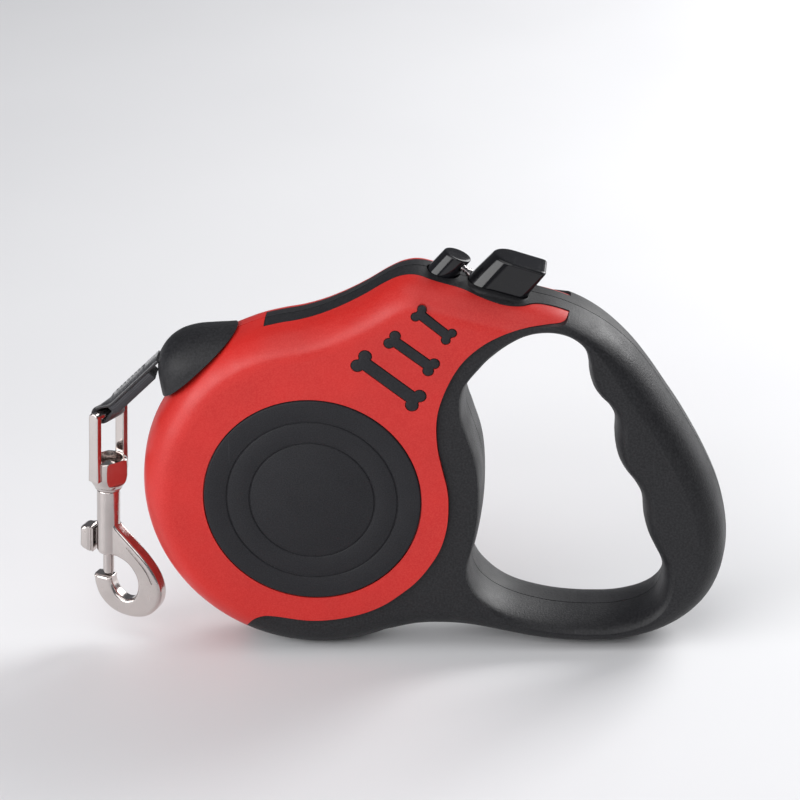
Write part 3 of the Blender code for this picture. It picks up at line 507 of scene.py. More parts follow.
cover = crowned("front_shell", case_outline(), COVER_CROWN)
cut(cover, red_for_cover, "INTERSECT")
for tool in (brake_hole, lock_hole, hub_room, tip_for_cover, strip_for_cover, mouth_room):
    cut(cover, tool, solver="MANIFOLD")
disc_seat = prism("disc_seat", circle(DISC_RADIUS + GAP, 160), -20, GAP - DISC_FLOOR)
cut(cover, disc_seat, solver="MANIFOLD")
discard(disc_seat)
bones = []
for name, start, end, spread, knob, shaft in BONES:
    outline = bone_outline(start, end, spread, knob, shaft)
    seat = prism("bone_seat", offset(outline, -0.2), -20, -13.4)
    cut(cover, seat, solver="MANIFOLD")
    discard(seat)
    bones.append(plate("front_inlay_" + name, outline, -14.9, -13.7, 0.25))

hole = spline(HOLE_TOP + HOLE_GRIP + HOLE_BOTTOM, 6, closed=True)
grip = crowned("front_grip", frame_outline(), FRAME_CROWN, hole, hole_share)
for tool in (brake_hole, lock_hole, red_for_frame, hub_room):
    cut(grip, tool)
cap_inner = spline(NOSE_LINE[-1:] + NOSE_INNER + NOSE_LINE[:1], 4)[1:-1]
cap = crowned("nose_dome", spline(NOSE_LINE, 6) + cap_inner, NOSE_CROWN, whole=True)
seat_crown = [(depth + GAP if depth else 0, inset) for depth, inset in COVER_CROWN]
case_for_cap = crowned("case_for_cap", offset(case_outline(), -GAP), seat_crown, whole=True)
cut(cap, case_for_cap)
mouth_slot = box("mouth_slot", (30, 2 * TAPE_HALF + 2, 2.4), (-36, 0, TAPE_HEIGHT))
cut(cap, mouth_slot)
nose_trim = prism("nose_trim", NOSE_TRIM, -20, 20)
cut(cap, nose_trim, solver="MANIFOLD")
discard(nose_trim, brake_hole, lock_hole, hub_room, hump_room, strip_for_cover, strip_for_frame,
        tip_for_cover, tip_for_frame, red_for_frame, red_for_cover, mouth_room, case_for_cap, mouth_slot)


# ---------------------------------------------------------------- procedural materials
class Nodes:
    """A material's node tree, with the noise, ramps and bump that every finish here is made of."""

    def __init__(self, name, roughness=0.5, metallic=0.0):
        self.material = bpy.data.materials.new(name)
        self.material.use_nodes = True
        self.tree = self.material.node_tree
        self.shader = self.tree.nodes["Principled BSDF"]
        self.shader.inputs["Roughness"].default_value = roughness
        self.shader.inputs["Metallic"].default_value = metallic
        self.place = self.add("ShaderNodeTexCoord").outputs["Object"]

    def add(self, kind, **settings):
        node = self.tree.nodes.new(kind)
        for key, value in settings.items():
            setattr(node, key, value)
        return node

    def join(self, source, target):
        self.tree.links.new(source, target)

    def stretched(self, scale, turn=(0, 0, 0)):
        """Object coordinates, scaled per axis and turned."""
        mapping = self.add("ShaderNodeMapping")
        mapping.inputs["Scale"].default_value = scale
        mapping.inputs["Rotation"].default_value = [math.radians(angle) for angle in turn]
        self.join(self.place, mapping.inputs["Vector"])
        return mapping.outputs["Vector"]

    def noise(self, scale, detail=3.0, rough=0.5, place=None):
        node = self.add("ShaderNodeTexNoise")
        node.inputs["Scale"].default_value = scale
        node.inputs["Detail"].default_value = detail
        node.inputs["Roughness"].default_value = rough
        self.join(place or self.place, node.inputs["Vector"])
        return node.outputs["Fac"]

    def wave(self, scale, place=None, kind="BANDS", axis="X", distortion=0.0):
        node = self.add("ShaderNodeTexWave", wave_type=kind, wave_profile="SIN")
        if kind == "BANDS":
            node.bands_direction = axis
        else:
            node.rings_direction = axis
        node.inputs["Scale"].default_value = scale
        node.inputs["Distortion"].default_value = distortion
        self.join(place or self.place, node.inputs["Vector"])
        return node.outputs["Fac"]

    def span(self, value, low, high, to_low, to_high):
        """A value's stretch from low to high, mapped onto another stretch."""
        node = self.add("ShaderNodeMapRange")
        self.join(value, node.inputs["Value"])
        for name, number in zip(("From Min", "From Max", "To Min", "To Max"), (low, high, to_low, to_high)):
            node.inputs[name].default_value = number
        return node.outputs["Result"]

    def maths(self, operation, a, b):
        node = self.add("ShaderNodeMath", operation=operation)
        for socket, value in zip(node.inputs, (a, b)):
            if isinstance(value, (int, float)):
                socket.default_value = value
            else:
                self.join(value, socket)
        return node.outputs["Value"]

    def blend(self, share, a, b):
        """Two colours, or a colour socket and a colour, mixed by a share."""
        node = self.add("ShaderNodeMix", data_type="RGBA")
        self.join(share, node.inputs["Factor"])
        for socket, value in ((node.inputs[6], a), (node.inputs[7], b)):
            if isinstance(value, tuple):
                socket.default_value = (*value, 1)
            else:
                self.join(value, socket)
        return node.outputs[2]

    def finish(self, colour=None, roughness=None, heights=(), distance=0.0001):
        """Connect the colour, the roughness and a chain of (height, strength) bumps."""
        if colour is not None:
            self.join(colour, self.shader.inputs["Base Color"])
        if roughness is not None:
            self.join(roughness, self.shader.inputs["Roughness"])
        normal = None
        for height, strength in heights:
            bump = self.add("ShaderNodeBump")
            bump.inputs["Strength"].default_value = strength
            bump.inputs["Distance"].default_value = distance
            self.join(height, bump.inputs["Height"])
            if normal:
                self.join(normal, bump.inputs["Normal"])
            normal = bump.outputs["Normal"]
        if normal:
            self.join(normal, self.shader.inputs["Normal"])
        return self.material


def moulded(name, colour, tint, roughness, grain, grain_strength, wear, gloss):
    """Moulded plastic: spark-eroded grain, cloudy colour, patchy sheen and a few fine scuffs."""
    n = Nodes(name, roughness)
    n.shader.inputs["Specular IOR Level"].default_value = gloss
    cloud = n.span(n.noise(55, 4), 0.3, 0.7, 0, 1)
    speck = n.span(n.noise(grain, 2), 0.35, 0.7, 0, 1)
    scuff = n.noise(900, 2, 0.4, n.stretched((1, 1, 0.05), (24, 0, 38)))
    scuff = n.maths("MULTIPLY", n.span(scuff, 0.7, 0.76, 0, 1), n.span(n.noise(34, 2), 0.52, 0.66, 0, 1))
    base = n.blend(cloud, colour, tuple(c * 0.86 for c in colour))
    base = n.blend(n.maths("MULTIPLY", speck, 0.35), base, tint)
    base = n.blend(n.maths("MULTIPLY", scuff, wear), base, tint)
    patchy = n.span(n.noise(140, 3), 0.3, 0.7, roughness - 0.05, roughness + 0.06)
    rough = n.maths("ADD", patchy, n.maths("MULTIPLY", speck, 0.05))
    fine = n.noise(grain * 2.1, 2)
    return n.finish(base, rough, [(n.noise(grain, 2), grain_strength), (fine, grain_strength * 0.6),
                                  (scuff, 0.05)])


def glossy_plastic():
    """Polished black: faint moulding ripple, hairline polishing marks and dust specks."""
    n = Nodes("button_gloss", 0.1)
    n.shader.inputs["Specular IOR Level"].default_value = 0.38
    hair = n.span(n.noise(1500, 1, 0.4, n.stretched((1, 0.06, 1), (0, 40, 12))), 0.68, 0.74, 0, 1)
    dust = n.span(n.noise(2600, 1), 0.72, 0.78, 0, 1)
    base = n.blend(n.span(n.noise(80, 3), 0.35, 0.65, 0, 1), (0.006, 0.006, 0.007), (0.010, 0.010, 0.012))
    base = n.blend(n.maths("MULTIPLY", dust, 0.25), base, (0.09, 0.09, 0.09))
    rough = n.maths("ADD", n.span(n.noise(200, 3), 0.3, 0.7, 0.08, 0.14), n.maths("MULTIPLY", hair, 0.08))
    return n.finish(base, rough, [(n.noise(160, 2), 0.04), (hair, 0.02)])


def nickel(name, colour, roughness):
    """Plated casting: soft ripple under the plating, tumbling marks and darker pits."""
    n = Nodes(name, roughness, 1.0)
    mark = n.span(n.noise(1400, 2, 0.5, n.stretched((1, 1, 0.12), (10, 30, 0))), 0.6, 0.72, 0, 1)
    pit = n.span(n.noise(1900, 2), 0.7, 0.78, 0, 1)
    cloud = n.span(n.noise(160, 4), 0.3, 0.7, 0, 1)
    base = n.blend(cloud, colour, tuple(c * 0.9 for c in colour))
    base = n.blend(n.maths("MULTIPLY", pit, 0.5), base, tuple(c * 0.45 for c in colour))
    patchy = n.span(n.noise(260, 3), 0.3, 0.7, roughness - 0.04, roughness + 0.07)
    rough = n.maths("ADD", patchy, n.maths("MULTIPLY", mark, 0.08))
    return n.finish(base, rough, [(n.noise(230, 2), 0.10), (mark, 0.03), (pit, 0.08)])


def brushed_steel():
    """Drawn spring steel: lengthwise drawing lines, oil tint and slight oxide."""
    n = Nodes("drawn_steel", 0.3, 1.0)
    lines = n.noise(700, 3, 0.6, n.stretched((1, 0.05, 1)))
    tint = n.span(n.noise(90, 3), 0.35, 0.7, 0, 1)
    base = n.blend(tint, (0.50, 0.51, 0.53), (0.40, 0.37, 0.34))
    return n.finish(base, n.span(lines, 0.3, 0.7, 0.22, 0.42), [(lines, 0.12)])


def zinc_screw():
    """Zinc-plated steel: turning rings and a faint yellow passivation."""
    n = Nodes("zinc_screw", 0.35, 1.0)
    patch = n.span(n.noise(420, 3), 0.35, 0.65, 0, 1)
    base = n.blend(patch, (0.44, 0.44, 0.46), (0.50, 0.47, 0.38))
    ring = n.wave(900, axis="Y")
    return n.finish(base, n.span(n.noise(900, 2), 0.3, 0.7, 0.28, 0.46),
                    [(ring, 0.05), (n.noise(1500, 2), 0.08)])


def woven(name, colour, light, roughness, thread, along_turn, strength):
    """Webbing: warp and weft threads, fuzz and worn, paler thread tops."""
    n = Nodes(name, roughness)
    place = n.stretched((1, 1, 1), (0, along_turn, 0))
    warp = n.wave(thread, place, axis="X", distortion=0.6)
    weft = n.wave(thread * 0.8, place, axis="Y", distortion=0.6)
    rise = n.wave(thread * 0.8, place, axis="Z", distortion=0.5)
    weave = n.maths("MAXIMUM", n.maths("MULTIPLY", warp, weft), n.maths("MULTIPLY", rise, 0.8))
    fuzz = n.noise(4200, 3)
    base = n.blend(n.maths("MULTIPLY", weave, 0.8), colour, light)
    base = n.blend(n.span(fuzz, 0.62, 0.8, 0, 0.3), base, light)
    n.shader.inputs["Sheen Weight"].default_value = 0.25
    n.shader.inputs["Sheen Roughness"].default_value = 0.5
    rough = n.span(weave, 0, 1, roughness + 0.06, roughness - 0.06)
    return n.finish(base, rough, [(weave, strength), (fuzz, 0.2)], 0.00015)


def wound_tape():
    """The wound tape's edge: turn upon turn around the hub, with a thread texture."""
    n = Nodes("wound_tape", 0.75)
    mapping = n.add("ShaderNodeMapping")
    mapping.inputs["Location"].default_value = (-HUB.x, 0, -HUB.z)
    n.join(n.place, mapping.inputs["Vector"])
    turns = n.wave(265, mapping.outputs["Vector"], "RINGS", "Y", 0.3)
    base = n.blend(turns, (0.006, 0.006, 0.008), (0.035, 0.035, 0.040))
    return n.finish(base, n.span(n.noise(500, 3), 0.3, 0.7, 0.65, 0.85),
                    [(turns, 0.6), (n.noise(3500, 2), 0.2)])


def inner_moulding():
    """Unpainted grey moulding inside the case: flow marks and a matt skin."""
    n = Nodes("inner_moulding", 0.5)
    flow = n.noise(60, 4, 0.6, n.stretched((1, 1, 0.25), (0, 20, 0)))
    base = n.blend(n.span(flow, 0.3, 0.7, 0, 1), (0.50, 0.51, 0.50), (0.40, 0.41, 0.41))
    return n.finish(base, n.span(flow, 0.3, 0.7, 0.42, 0.58), [(n.noise(1300, 2), 0.12)])


def pale_floor():
    n = Nodes("floor", 0.6)
    base = n.blend(n.span(n.noise(3, 4), 0.3, 0.7, 0, 1), (0.78, 0.78, 0.79), (0.74, 0.74, 0.755))
    return n.finish(base, n.span(n.noise(8, 3), 0.3, 0.7, 0.5, 0.62), [(n.noise(900, 2), 0.02)])


red_finish = moulded("red_abs", (0.56, 0.011, 0.008), (0.66, 0.06, 0.045), 0.40, 2400, 0.16, 0.25, 0.45)
black_finish = moulded("black_soft_touch", (0.0065, 0.0065, 0.0080), (0.045, 0.045, 0.049),
                       0.50, 1700, 0.8, 0.5, 0.35)
inlay_finish = moulded("inlay_rubber", (0.0095, 0.0095, 0.0118), (0.04, 0.04, 0.046),
                       0.62, 2600, 0.20, 0.4, 0.3)
# A darker black than the frame's, for the collar: painted shade round the large button's foot.
collar_shade_finish = moulded("collar_plastic", (0.005, 0.005, 0.006), (0.03, 0.03, 0.034),
                        0.48, 2400, 0.15, 0.4, 0.3)
gloss_finish = glossy_plastic()
nickel_finish = nickel("nickel_cast", (0.60, 0.55, 0.53), 0.17)
pin_finish = nickel("nickel_pin", (0.42, 0.40, 0.40), 0.12)
steel_finish = brushed_steel()
screw_finish = zinc_screw()
webbing_finish = woven("strap_webbing", (0.009, 0.009, 0.012), (0.042, 0.042, 0.050), 0.72, 900, 47, 0.5)
tape_finish = woven("strap_tape", (0.008, 0.008, 0.010), (0.040, 0.040, 0.046), 0.24, 1300, 47, 0.10)
thread_finish = woven("strap_thread", (0.03, 0.03, 0.036), (0.10, 0.10, 0.11), 0.6, 3200, 0, 0.3)
wound_finish = wound_tape()
inner_finish = inner_moulding()


# ---------------------------------------------------------------- putting pieces on bodies
def add_piece(obj, body, slot, finish, *replaced):
    """Give a piece its finish and its body, and hide the CAD nodes that it stands for. The slot is not used.
    """
    obj.data.materials.clear()
    obj.data.materials.append(finish)
    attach(obj, body)
    if replaced:
        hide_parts(*replaced)
    return obj


def both_sides(obj, slot, finish):
    """A front piece and its mirror image, which stand for the CAD's front and rear nodes."""
    node = {"front_shell": "front_cover", "front_grip": "front_frame", "front_disc": "front_hub_disc"}.get(
        obj.name, obj.name.replace("inlay", "bone"))
    rear = mirrored(obj, obj.name.replace("front", "rear"))
    add_piece(obj, "case", slot, finish, node)
    add_piece(rear, "case", slot, finish, node.replace("front", "rear"))
    return rear


# ---------------------------------------------------------------- shells, discs and bones
disc_profile = [(0, DISC_FACE)]
RING_GROOVE = [(-0.42, 0), (-0.3, 0.05), (-0.12, 0.34), (0.12, 0.34), (0.3, 0.05), (0.42, 0)]
for ring in reversed(DISC_RINGS):
    disc_profile += [(ring + out, DISC_FACE - depth) for out, depth in RING_GROOVE]
disc_profile += [(DISC_RADIUS - 0.45 * (1 - math.sin(a)), DISC_FACE - 0.45 * (1 - math.cos(a)))
                 for a in (math.pi / 10 * i for i in range(6))]
disc_profile += [(DISC_RADIUS, DISC_FLOOR), (0, DISC_FLOOR)]
hub_to_front = Matrix.Translation(HUB) @ rotation(90, "X")
disc = lathe("front_disc", disc_profile, 160, hub_to_front, 50)

for obj in (cover, grip, cap):
    finish_shell(obj)
both_sides(cover, "red_shell", red_finish)
rear_grip = both_sides(grip, "black_shell", black_finish)
both_sides(disc, "inlay", inlay_finish)
for bone in bones:
    both_sides(bone, "inlay", inlay_finish)
add_piece(cap, "case", "black_shell", black_finish, "nose_cap")

for name, x, z in SCREWS:
    place = Matrix.Translation(HUB + Vector((x, 0, z)) * MM) @ rotation(90, "X")
    for radius, low, high in ((1.5, -8, 9.2), (2.4, -16, -6.5)):
        bore = lathe("screw_bore", [(0, high), (radius, high), (radius, low), (0, low)], 32, place)
        cut(rear_grip, bore)
        discard(bore)
    screw_profile = [(0, 8.6), (0.3, 8.6), (1.2, 7.6), (1.2, -6.8), (2.1, -6.8), (2.1, -8.3), (1.8, -8.6),
                     (0, -8.6)]
    screw = lathe(name.replace("frame_screw", "screw"), screw_profile, 32, place)
    for turn in (0, 90):
        cross = box("cross_recess", (2.4, 0.5, 1.6), (0, 0, -8.6), place @ rotation(turn, "Z"))
        cut(screw, cross)
        discard(cross)
    add_piece(screw, "case", "spring_steel", screw_finish, name)
finish_shell(rear_grip)


# ---------------------------------------------------------------- buttons
def button(name, outline, bottom, foot, height, slope, draft, turn, fillet):
    """A button that narrows a little from its foot to a slanted top with a rounded edge."""
    normals = inward_normals(outline)
    tilt = math.tan(math.radians(slope))
    bm = bmesh.new()
    rings = [[bm.verts.new(turn @ (Vector((*p, z)) * MM)) for p in outline] for z in (bottom, foot)]
    levels = [(0, fillet)] + [(fillet * (1 - math.cos(a)), fillet * (1 - math.sin(a)))
                              for a in (math.pi / 12 * i for i in range(1, 7))]
    levels.append((fillet + 0.5, -0.03))
    for inset, drop in levels:
        ring = []
        for p, n in zip(outline, normals):
            x, y = p[0] + n.x * (draft + inset), p[1] + n.y * (draft + inset)
            ring.append(bm.verts.new(turn @ (Vector((x, y, height + x * tilt - drop)) * MM)))
        rings.append(ring)
    walls(bm, zip(rings, rings[1:]))
    fill(bm, rings[:1])
    fill(bm, rings[-1:])
    return mesh_object(name, bm)


def rod_profile(radius, low, high, edge=0.3):
    """A rod's profile with chamfered ends, for lathe."""
    return [(0, high), (radius - edge, high), (radius, high - edge), (radius, low + edge),
            (radius - edge, low), (0, low)]


brake = button("brake_cap", brake_outline(), 72.5, 79.5, BRAKE_TOP, BRAKE_SLANT, 0.4, brake_turn, 0.8)
leg = lathe("brake_leg", rod_profile(2.3, 46, 75), 40, brake_turn)
foot = box("brake_foot", (3.0, 14, 9), (0, 0, 47.3), brake_turn)
cut(leg, foot, "UNION")
cut(brake, leg, "UNION")
discard(leg, foot)
add_piece(finish_shell(brake, 40), "brake", "gloss_button", gloss_finish, "brake_button")

lock = button("lock_cap", circle(LOCK_RADIUS, 96), 68, 73, LOCK_TOP, LOCK_SLANT, 0.1, lock_turn, 0.45)
stem = lathe("lock_stem", rod_profile(1.5, 54, 72), 32, lock_turn)
cut(lock, stem, "UNION")
pin_turn = brake_turn @ Matrix.Translation(Vector((-11.0, -2.4, 78.3)) * MM) @ rotation(90, "Y")
pin_seat = lathe("pin_seat", rod_profile(1.3, -0.3, 6, 0.1), 32, pin_turn)
cut(lock, pin_seat)
discard(stem, pin_seat)
add_piece(finish_shell(lock, 40), "lock", "gloss_button", gloss_finish, "lock_button")
PIN_PROFILE = [(0, 3.2), (0.95, 3.2), (1.3, 3.0), (1.3, 2.6), (1.0, 2.5), (1.0, 2.1), (0.75, 1.95),
               (0.75, 1.7), (1.0, 1.55), (1.0, 1.2), (0.75, 1.05), (0.75, 0.8), (1.0, 0.65), (1.0, 0.1),
               (0.9, 0), (0, 0)]
pin = lathe("cross_pin", PIN_PROFILE, 48, pin_turn)
add_piece(pin, "lock", "plated_metal", pin_finish, "lock_pin")


def collar():
    """Raised lip round the large button's hole, in a darker black than the frame: painted shade at the
    button's foot.
    Its top follows the case: sloped along the hump, falling off across it."""
    slope = math.tan(math.radians(26.5))
    outline = brake_outline(0.2)
    normals = inward_normals(outline)
    section = [(0, -4.5), (0, 0.2), (0.15, 0.35), (1.2, 0.35), (1.6, 0.1), (1.7, -0.3), (1.7, -4.5)]
    bm = bmesh.new()
    rings = []
    for out, rise in section:
        ring = []
        for p, n in zip(outline, normals):
            x, y = p[0] - n.x * out, p[1] - n.y * out
            fall = 0.5 * (y / 5) ** 2 + (0.5 if x > 0 else 1.0) * (x / 7) ** 2
            height = BRAKE_FOOT + x * slope - fall + rise
            ring.append(bm.verts.new(brake_turn @ (Vector((x, y, height)) * MM)))
        rings.append(ring)
    walls(bm, zip(rings, rings[1:] + rings[:1]))
    return mesh_object("button_collar", bm)


# The collar's darker black is painted shade at the button's foot.
add_piece(collar(), "case", "black_shell", collar_shade_finish)


# ---------------------------------------------------------------- strap
def hook_frame(turn):
    """A frame at the eye's bar, its Z axis up along the hook, turned about that axis."""
    return (Matrix.Translation(HUB + Vector(EYE_CENTRE) * MM) @ rotation(HOOK_LEAN, "Y")
            @ rotation(turn, "Z"))


strap_start = Vector((MOUTH_X, 0, TAPE_HEIGHT))
strap_finish = Vector(EYE_CENTRE)
strap_along = (strap_finish - strap_start).normalized()
strap_up = Vector((0, 1, 0)).cross(strap_along)
strap_length = (strap_finish - strap_start).length
bar_axis = (hook_frame(EYE_TURN).to_3x3() @ Vector((1, 0, 0))).normalized()
if bar_axis.y < 0:
    bar_axis.negate()
if strap_up.z < 0:
    strap_up.negate()


def strap_cross(u):
    """Across the strap at a distance from the mouth: square on, but for the last turn to the eye's bar."""
    t = min(max((u - strap_length + 4) / 3.4, 0), 1)
    return Vector((0, 1, 0)).lerp(bar_axis, t * t * (3 - 2 * t)).normalized()


def band(name, path, half_width, half_thickness, corner=0.22):
    """A flat band along a path of (u, v): u from the mouth to the bar, v above the strap's middle."""
    points = [Vector((u, v)) for u, v in path]
    bm = bmesh.new()
    rings = []
    for i, p in enumerate(points):
        run = (points[min(i + 1, len(points) - 1)] - points[max(i - 1, 0)]).normalized()
        side = Vector((-run.y, run.x))
        cross = strap_cross(p.x)
        ring = []
        for w, t in ((-1, -1), (1, -1), (1, 1), (-1, 1)):
            bevel = ((w * corner, 0), (0, t * corner))
            for dw, dt in bevel if w * t < 0 else bevel[::-1]:
                wide = w * half_width - dw
                flat_place = p + side * (t * half_thickness - dt)
                place = strap_start + strap_along * flat_place.x + strap_up * flat_place.y + cross * wide
                ring.append(bm.verts.new(HUB + place * MM))
        rings.append(ring)
    capped_walls(bm, rings)
    return mesh_object(name, bm, 50)


def strap_line(u, below):
    """Height of a line a distance below the strap's top, which climbs from the mouth to the loop."""
    return 0.6 + 1.5 * u / strap_length - below


def strap_row(u0, u1, below, count=24):
    return [(u, strap_line(u, below)) for u in (u0 + (u1 - u0) * i / (count - 1) for i in range(count))]


LOOP_RADIUS = 2.3
tape_path = strap_row(0.6, strap_length - 3.0, 0.55, 30)
tape_path += [(strap_length - 2.2, 1.72), (strap_length - 1.6, 1.98)]
tape_path += [(strap_length + LOOP_RADIUS * math.cos(a), LOOP_RADIUS * math.sin(a))
              for a in map(math.radians, range(118, -129, -8))]
tape_path += [(strap_length - 2.2, -1.5), (strap_length - 3.0, -1.2)]
strap_tape = band("strap_tape", tape_path, TAPE_HALF, 0.55, 0.34)
add_piece(strap_tape, "strap", "tape", tape_finish, "strap_end")
FLAP_START = 5.0
flap = band("strap_flap", strap_row(FLAP_START, strap_length - 2.6, 2.5), TAPE_HALF - 0.05, 1.35, 0.18)
add_piece(flap, "strap", "tape", webbing_finish)
for name, below in (("strap_seam_upper", 1.5), ("strap_seam_lower", 1.95)):
    seam = band(name, strap_row(FLAP_START + 0.2, strap_length - 3.0, below), TAPE_HALF + 0.03, 0.07, 0.05)
    add_piece(seam, "strap", "tape", thread_finish)


def stitches():
    """Two rows of thread along the strap, over and under it, and a bar tack at each end."""
    bm = bmesh.new()

    def stitch(u, w, du, dw, below):
        cross = strap_cross(u)
        v = strap_line(u, below)
        middle = strap_start + strap_along * u + strap_up * v + cross * w
        along = (strap_along * du + cross * dw).normalized()
        side = along.cross(strap_up)
        half = math.hypot(du, dw)
        rings = []
        for s, r in ((-1, 0.06), (-0.8, 0.15), (-0.3, 0.19), (0.3, 0.19), (0.8, 0.15), (1, 0.06)):
            centre = middle + along * half * s
            rings.append([bm.verts.new(HUB + (centre + side * r * math.cos(a)
                                              + strap_up * r * 0.8 * math.sin(a)) * MM)
                          for a in (math.tau * k / 8 for k in range(8))])
        capped_walls(bm, rings)

    for below in (0.0, 3.87):
        for w in (-2.7, 2.7):
            for i in range(8):
                stitch(7.2 + 1.5 * i, w, 0.55, 0, below)
        for u in (6.4, strap_length - 4.0):
            for i in range(9):
                stitch(u, -2.4 + 0.6 * i, 0.35, 0.12 * (-1) ** i, below)
    return mesh_object("strap_stitches", bm, 80)


add_piece(stitches(), "strap", "tape", thread_finish)


# ---------------------------------------------------------------- swivel eye and snap hook
def cast(obj, voxel, passes):
    """Melt a union of solids together, so that its inside corners get the small radii of a casting."""
    remesh = obj.modifiers.new("remesh", "REMESH")
    remesh.mode = "VOXEL"
    remesh.voxel_size = voxel * MM
    remesh.adaptivity = 0
    smooth = obj.modifiers.new("smooth", "SMOOTH")
    smooth.factor = 0.5
    smooth.iterations = passes
    made = applied(obj)
    obj.modifiers.clear()
    obj.data = made
    obj.data.shade_smooth()
    return obj


def tube(name, path, y, radius):
    """A round rod along a path in the XZ plane, at a distance in front of it."""
    points = [Vector((x, y, z)) for x, z in path]
    bm = bmesh.new()
    rings = []
    for i, p in enumerate(points):
        along = (points[min(i + 1, len(points) - 1)] - points[max(i - 1, 0)]).normalized()
        side = along.cross(Vector((0, 1, 0)))
        rings.append([bm.verts.new((p + (side * math.cos(a) + Vector((0, 1, 0)) * math.sin(a)) * radius) * MM)
                      for a in (math.tau * k / 16 for k in range(16))])
    capped_walls(bm, rings)
    return mesh_object(name, bm)


def settle(obj, turn):
    """Move a piece that was made at the origin into its frame, within its mesh."""
    obj.data.transform(turn)
    obj.data.shade_smooth()
    obj.data.set_sharp_from_angle(angle=math.radians(38))
    return obj


HERE = Matrix.Identity(4)
CAST_VOXEL = 0.13
eye_turn, snap_turn = hook_frame(EYE_TURN), hook_frame(SNAP_TURN)

CUP_PROFILE = [(0, -14.7), (4.9, -14.7), (5.4, -15.1), (5.5, -17), (5.5, -20), (5.2, -21.6), (4.5, -22.9),
               (4.0, -23.4), (4.0, -24.0), (0, -24.0)]
eye = lathe("eye_cast", CUP_PROFILE, 96, HERE)
for sign in (-1, 1):
    flank = box("eye_flank", (16, 6, 9.5), (0, sign * 7.2, -17.2), rotation(-18, "Z"))
    cut(eye, flank)
    leg_outline = [(-1.75, -20), (-1.6, -12)] + arc((0, -0.1), 1.6, 180, 0, 17) + [(1.6, -12), (1.75, -20)]
    leg_place = Matrix.Translation((sign * 6.15 * MM, 0, 0)) @ rotation(90, "Z")
    leg = plate("eye_leg", leg_outline, -1.05, 1.05, 0.35, leg_place)
    cut(eye, leg, "UNION")
    discard(flank, leg)
bar = lathe("eye_bar", rod_profile(1.4, -EYE_HALF, EYE_HALF, 0.1), 32, rotation(90, "Y"))
cut(eye, bar, "UNION")
cast(eye, CAST_VOXEL, 4)
for profile in ([(0, -10), (4.15, -10), (4.15, -18.4), (3.9, -18.6), (0, -18.6)],
                [(0, -10), (1.8, -10), (1.8, -26), (0, -26)]):
    recess = lathe("eye_recess", profile, 64, HERE)
    keep_clear = box("recess_limit", (20, 20, 16), (0, 0, -21.5), HERE)
    cut(recess, keep_clear, "INTERSECT")
    cut(eye, recess)
    discard(recess, keep_clear)
discard(bar)
add_piece(settle(eye, eye_turn), "eye", "plated_metal", nickel_finish, "swivel_eye")

RIVET_PROFILE = [(0, -15.9), (0.9, -16.0), (1.8, -16.4), (2.5, -17.1), (2.8, -17.9), (2.75, -18.3),
                 (1.4, -18.3), (1.4, -26.8), (0, -26.8)]
rivet = lathe("swivel_rivet", RIVET_PROFILE, 48, snap_turn, 50)
add_piece(rivet, "hook", "plated_metal", nickel_finish, "swivel_stem")

SNAP_OUTER = [(2.2, -24.4), (2.2, -33.0), (3.6, -35.6), (8.6, -40.1), (13.2, -44.4), (16.4, -48.8),
              (17.8, -53.5), (16.9, -58), (13.4, -61.8), (8, -63.2), (2.4, -62.2), (-1.6, -59), (-3.4, -55),
              (-3.7, -51.8)]
SNAP_INNER = [(1.8, -51.8), (2.2, -54.2), (3.9, -56.8), (6.7, -57.9), (9.4, -56.5), (10.4, -53), (9.6, -49.4),
              (7, -46.3), (3.6, -44.8)]
snap_outline = [(0, -24.6)] + SNAP_OUTER[:1] + spline(SNAP_OUTER[1:], 8)
snap_outline += spline(SNAP_INNER, 8) + [(0, -44.6)]
snap = plate("snap_cast", snap_outline, -2.3, 2.3, 1.1, HERE, 5)
BARREL_PROFILE = [(0, -24.3), (3.0, -24.3), (3.35, -24.7), (3.35, -43.6), (3.0, -44.4), (2.3, -44.8),
                  (0, -44.8)]
barrel = lathe("snap_barrel", BARREL_PROFILE, 64, HERE)
cut(snap, barrel, "UNION")
cast(snap, CAST_VOXEL, 5)
bore = lathe("snap_bore", [(0, -28), (1.95, -28), (1.95, -50), (0, -50)], 40, HERE)
stem_seat = lathe("snap_stem_seat", [(0, -20), (1.6, -20), (1.6, -27), (0, -27)], 32, HERE)
slot = box("snap_slot", (5, 1.9, 13.5), (-3, 0, -36.2), HERE)
groove_line = spline([(7.0, -41.0), (10.6, -44.4), (13.4, -47.6), (15.2, -51.0)], 8)
groove = tube("snap_groove", groove_line, -2.3, 0.3)
for tool in (bore, stem_seat, slot, groove):
    cut(snap, tool)
discard(barrel, bore, stem_seat, slot, groove)
add_piece(settle(snap, snap_turn), "hook", "plated_metal", nickel_finish, "snap_body")

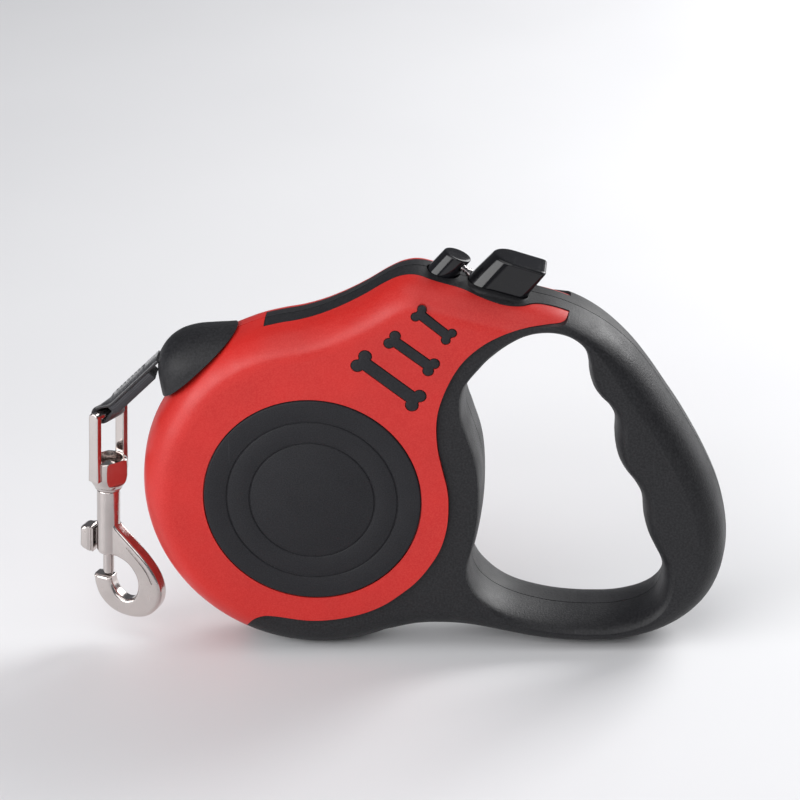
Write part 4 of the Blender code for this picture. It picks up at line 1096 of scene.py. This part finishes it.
bolt = lathe("thumb_slide", rod_profile(1.6, -51.4, -36, 0.35), 40, HERE)
neck = box("bolt_neck", (5, 1.3, 4.6), (-3.2, 0, -40.0), HERE)
knob_outline = ([(-4.6, -36.8)] + arc((-6.1, -39.2), 2.4, 95, 150, 8) + arc((-6.1, -42.4), 2.4, 205, 262, 8)
                + [(-4.6, -44.8)])
knob = plate("bolt_knob", knob_outline, -2.5, 2.5, 1.2, HERE, 5)
cut(bolt, neck, "UNION")
cut(bolt, knob, "UNION")
for x in (-4.75, -3.95):
    rib_outline = [(x - 0.26, -37.0), (x + 0.26, -37.0), (x + 0.26, -44.5), (x - 0.26, -44.5)]
    rib = plate("bolt_rib", rib_outline, -2.75, 2.75, 0.15, HERE)
    cut(bolt, rib, "UNION")
    discard(rib)
discard(neck, knob)
cast(bolt, 0.11, 3)
add_piece(settle(bolt, snap_turn), "bolt", "plated_metal", nickel_finish, "thumb_bolt")

# ---------------------------------------------------------------- inner CAD nodes that stay
INNER_FINISHES = {"spool": inner_finish, "button_guide": inner_finish, "spool_bush": steel_finish,
                  "spiral_spring": steel_finish, "spring_cover": inner_finish, "tape_pack": wound_finish,
                  "tape_run": tape_finish, "axle_post": steel_finish, "mouth_pin": steel_finish,
                  "brake_spring": steel_finish, "lock_spring": steel_finish, "bolt_spring": steel_finish}
for name, finish in INNER_FINISHES.items():
    node = bpy.data.objects[name]
    node.data.materials.clear()
    node.data.materials.append(finish)

# ---------------------------------------------------------------- floor and lights
bm = bmesh.new()
bmesh.ops.create_grid(bm, x_segments=8, y_segments=8, size=3)
floor = mesh_object("floor", bm)
floor.data.materials.append(pale_floor())


def softbox(name, direction, distance, width, height, power):
    """A rectangular area light that faces the object from a direction."""
    lamp = bpy.data.lights.new(name, "AREA")
    lamp.shape = "RECTANGLE"
    lamp.size, lamp.size_y = width, height
    lamp.energy = power
    holder = link(bpy.data.objects.new(name, lamp))
    away = Vector(direction).normalized()
    target = Vector((0, 0, 0.05))
    holder.location = target + away * distance
    holder.rotation_euler = away.to_track_quat("Z", "Y").to_euler()


softbox("left_box", (-0.80, -0.55, 0.34), 0.80, 0.68, 0.42, 4.4)
softbox("front_box", (-0.10, -0.80, 0.55), 1.2, 0.9, 0.5, 3.6)
softbox("top_box", (-0.05, -0.30, 0.95), 0.9, 0.8, 0.65, 2.5)
softbox("right_box", (0.70, 0.62, 0.55), 0.9, 0.5, 0.5, 7)
softbox("rim_box", (0.55, 0.75, 0.35), 1.0, 0.6, 0.4, 3)
world = bpy.data.worlds.new("studio")
world.use_nodes = True
world.node_tree.nodes["Background"].inputs["Color"].default_value = (0.9, 0.92, 1.0, 1)
world.node_tree.nodes["Background"].inputs["Strength"].default_value = 0.16
bpy.context.scene.world = world
bpy.context.scene.view_settings.view_transform = "Standard"
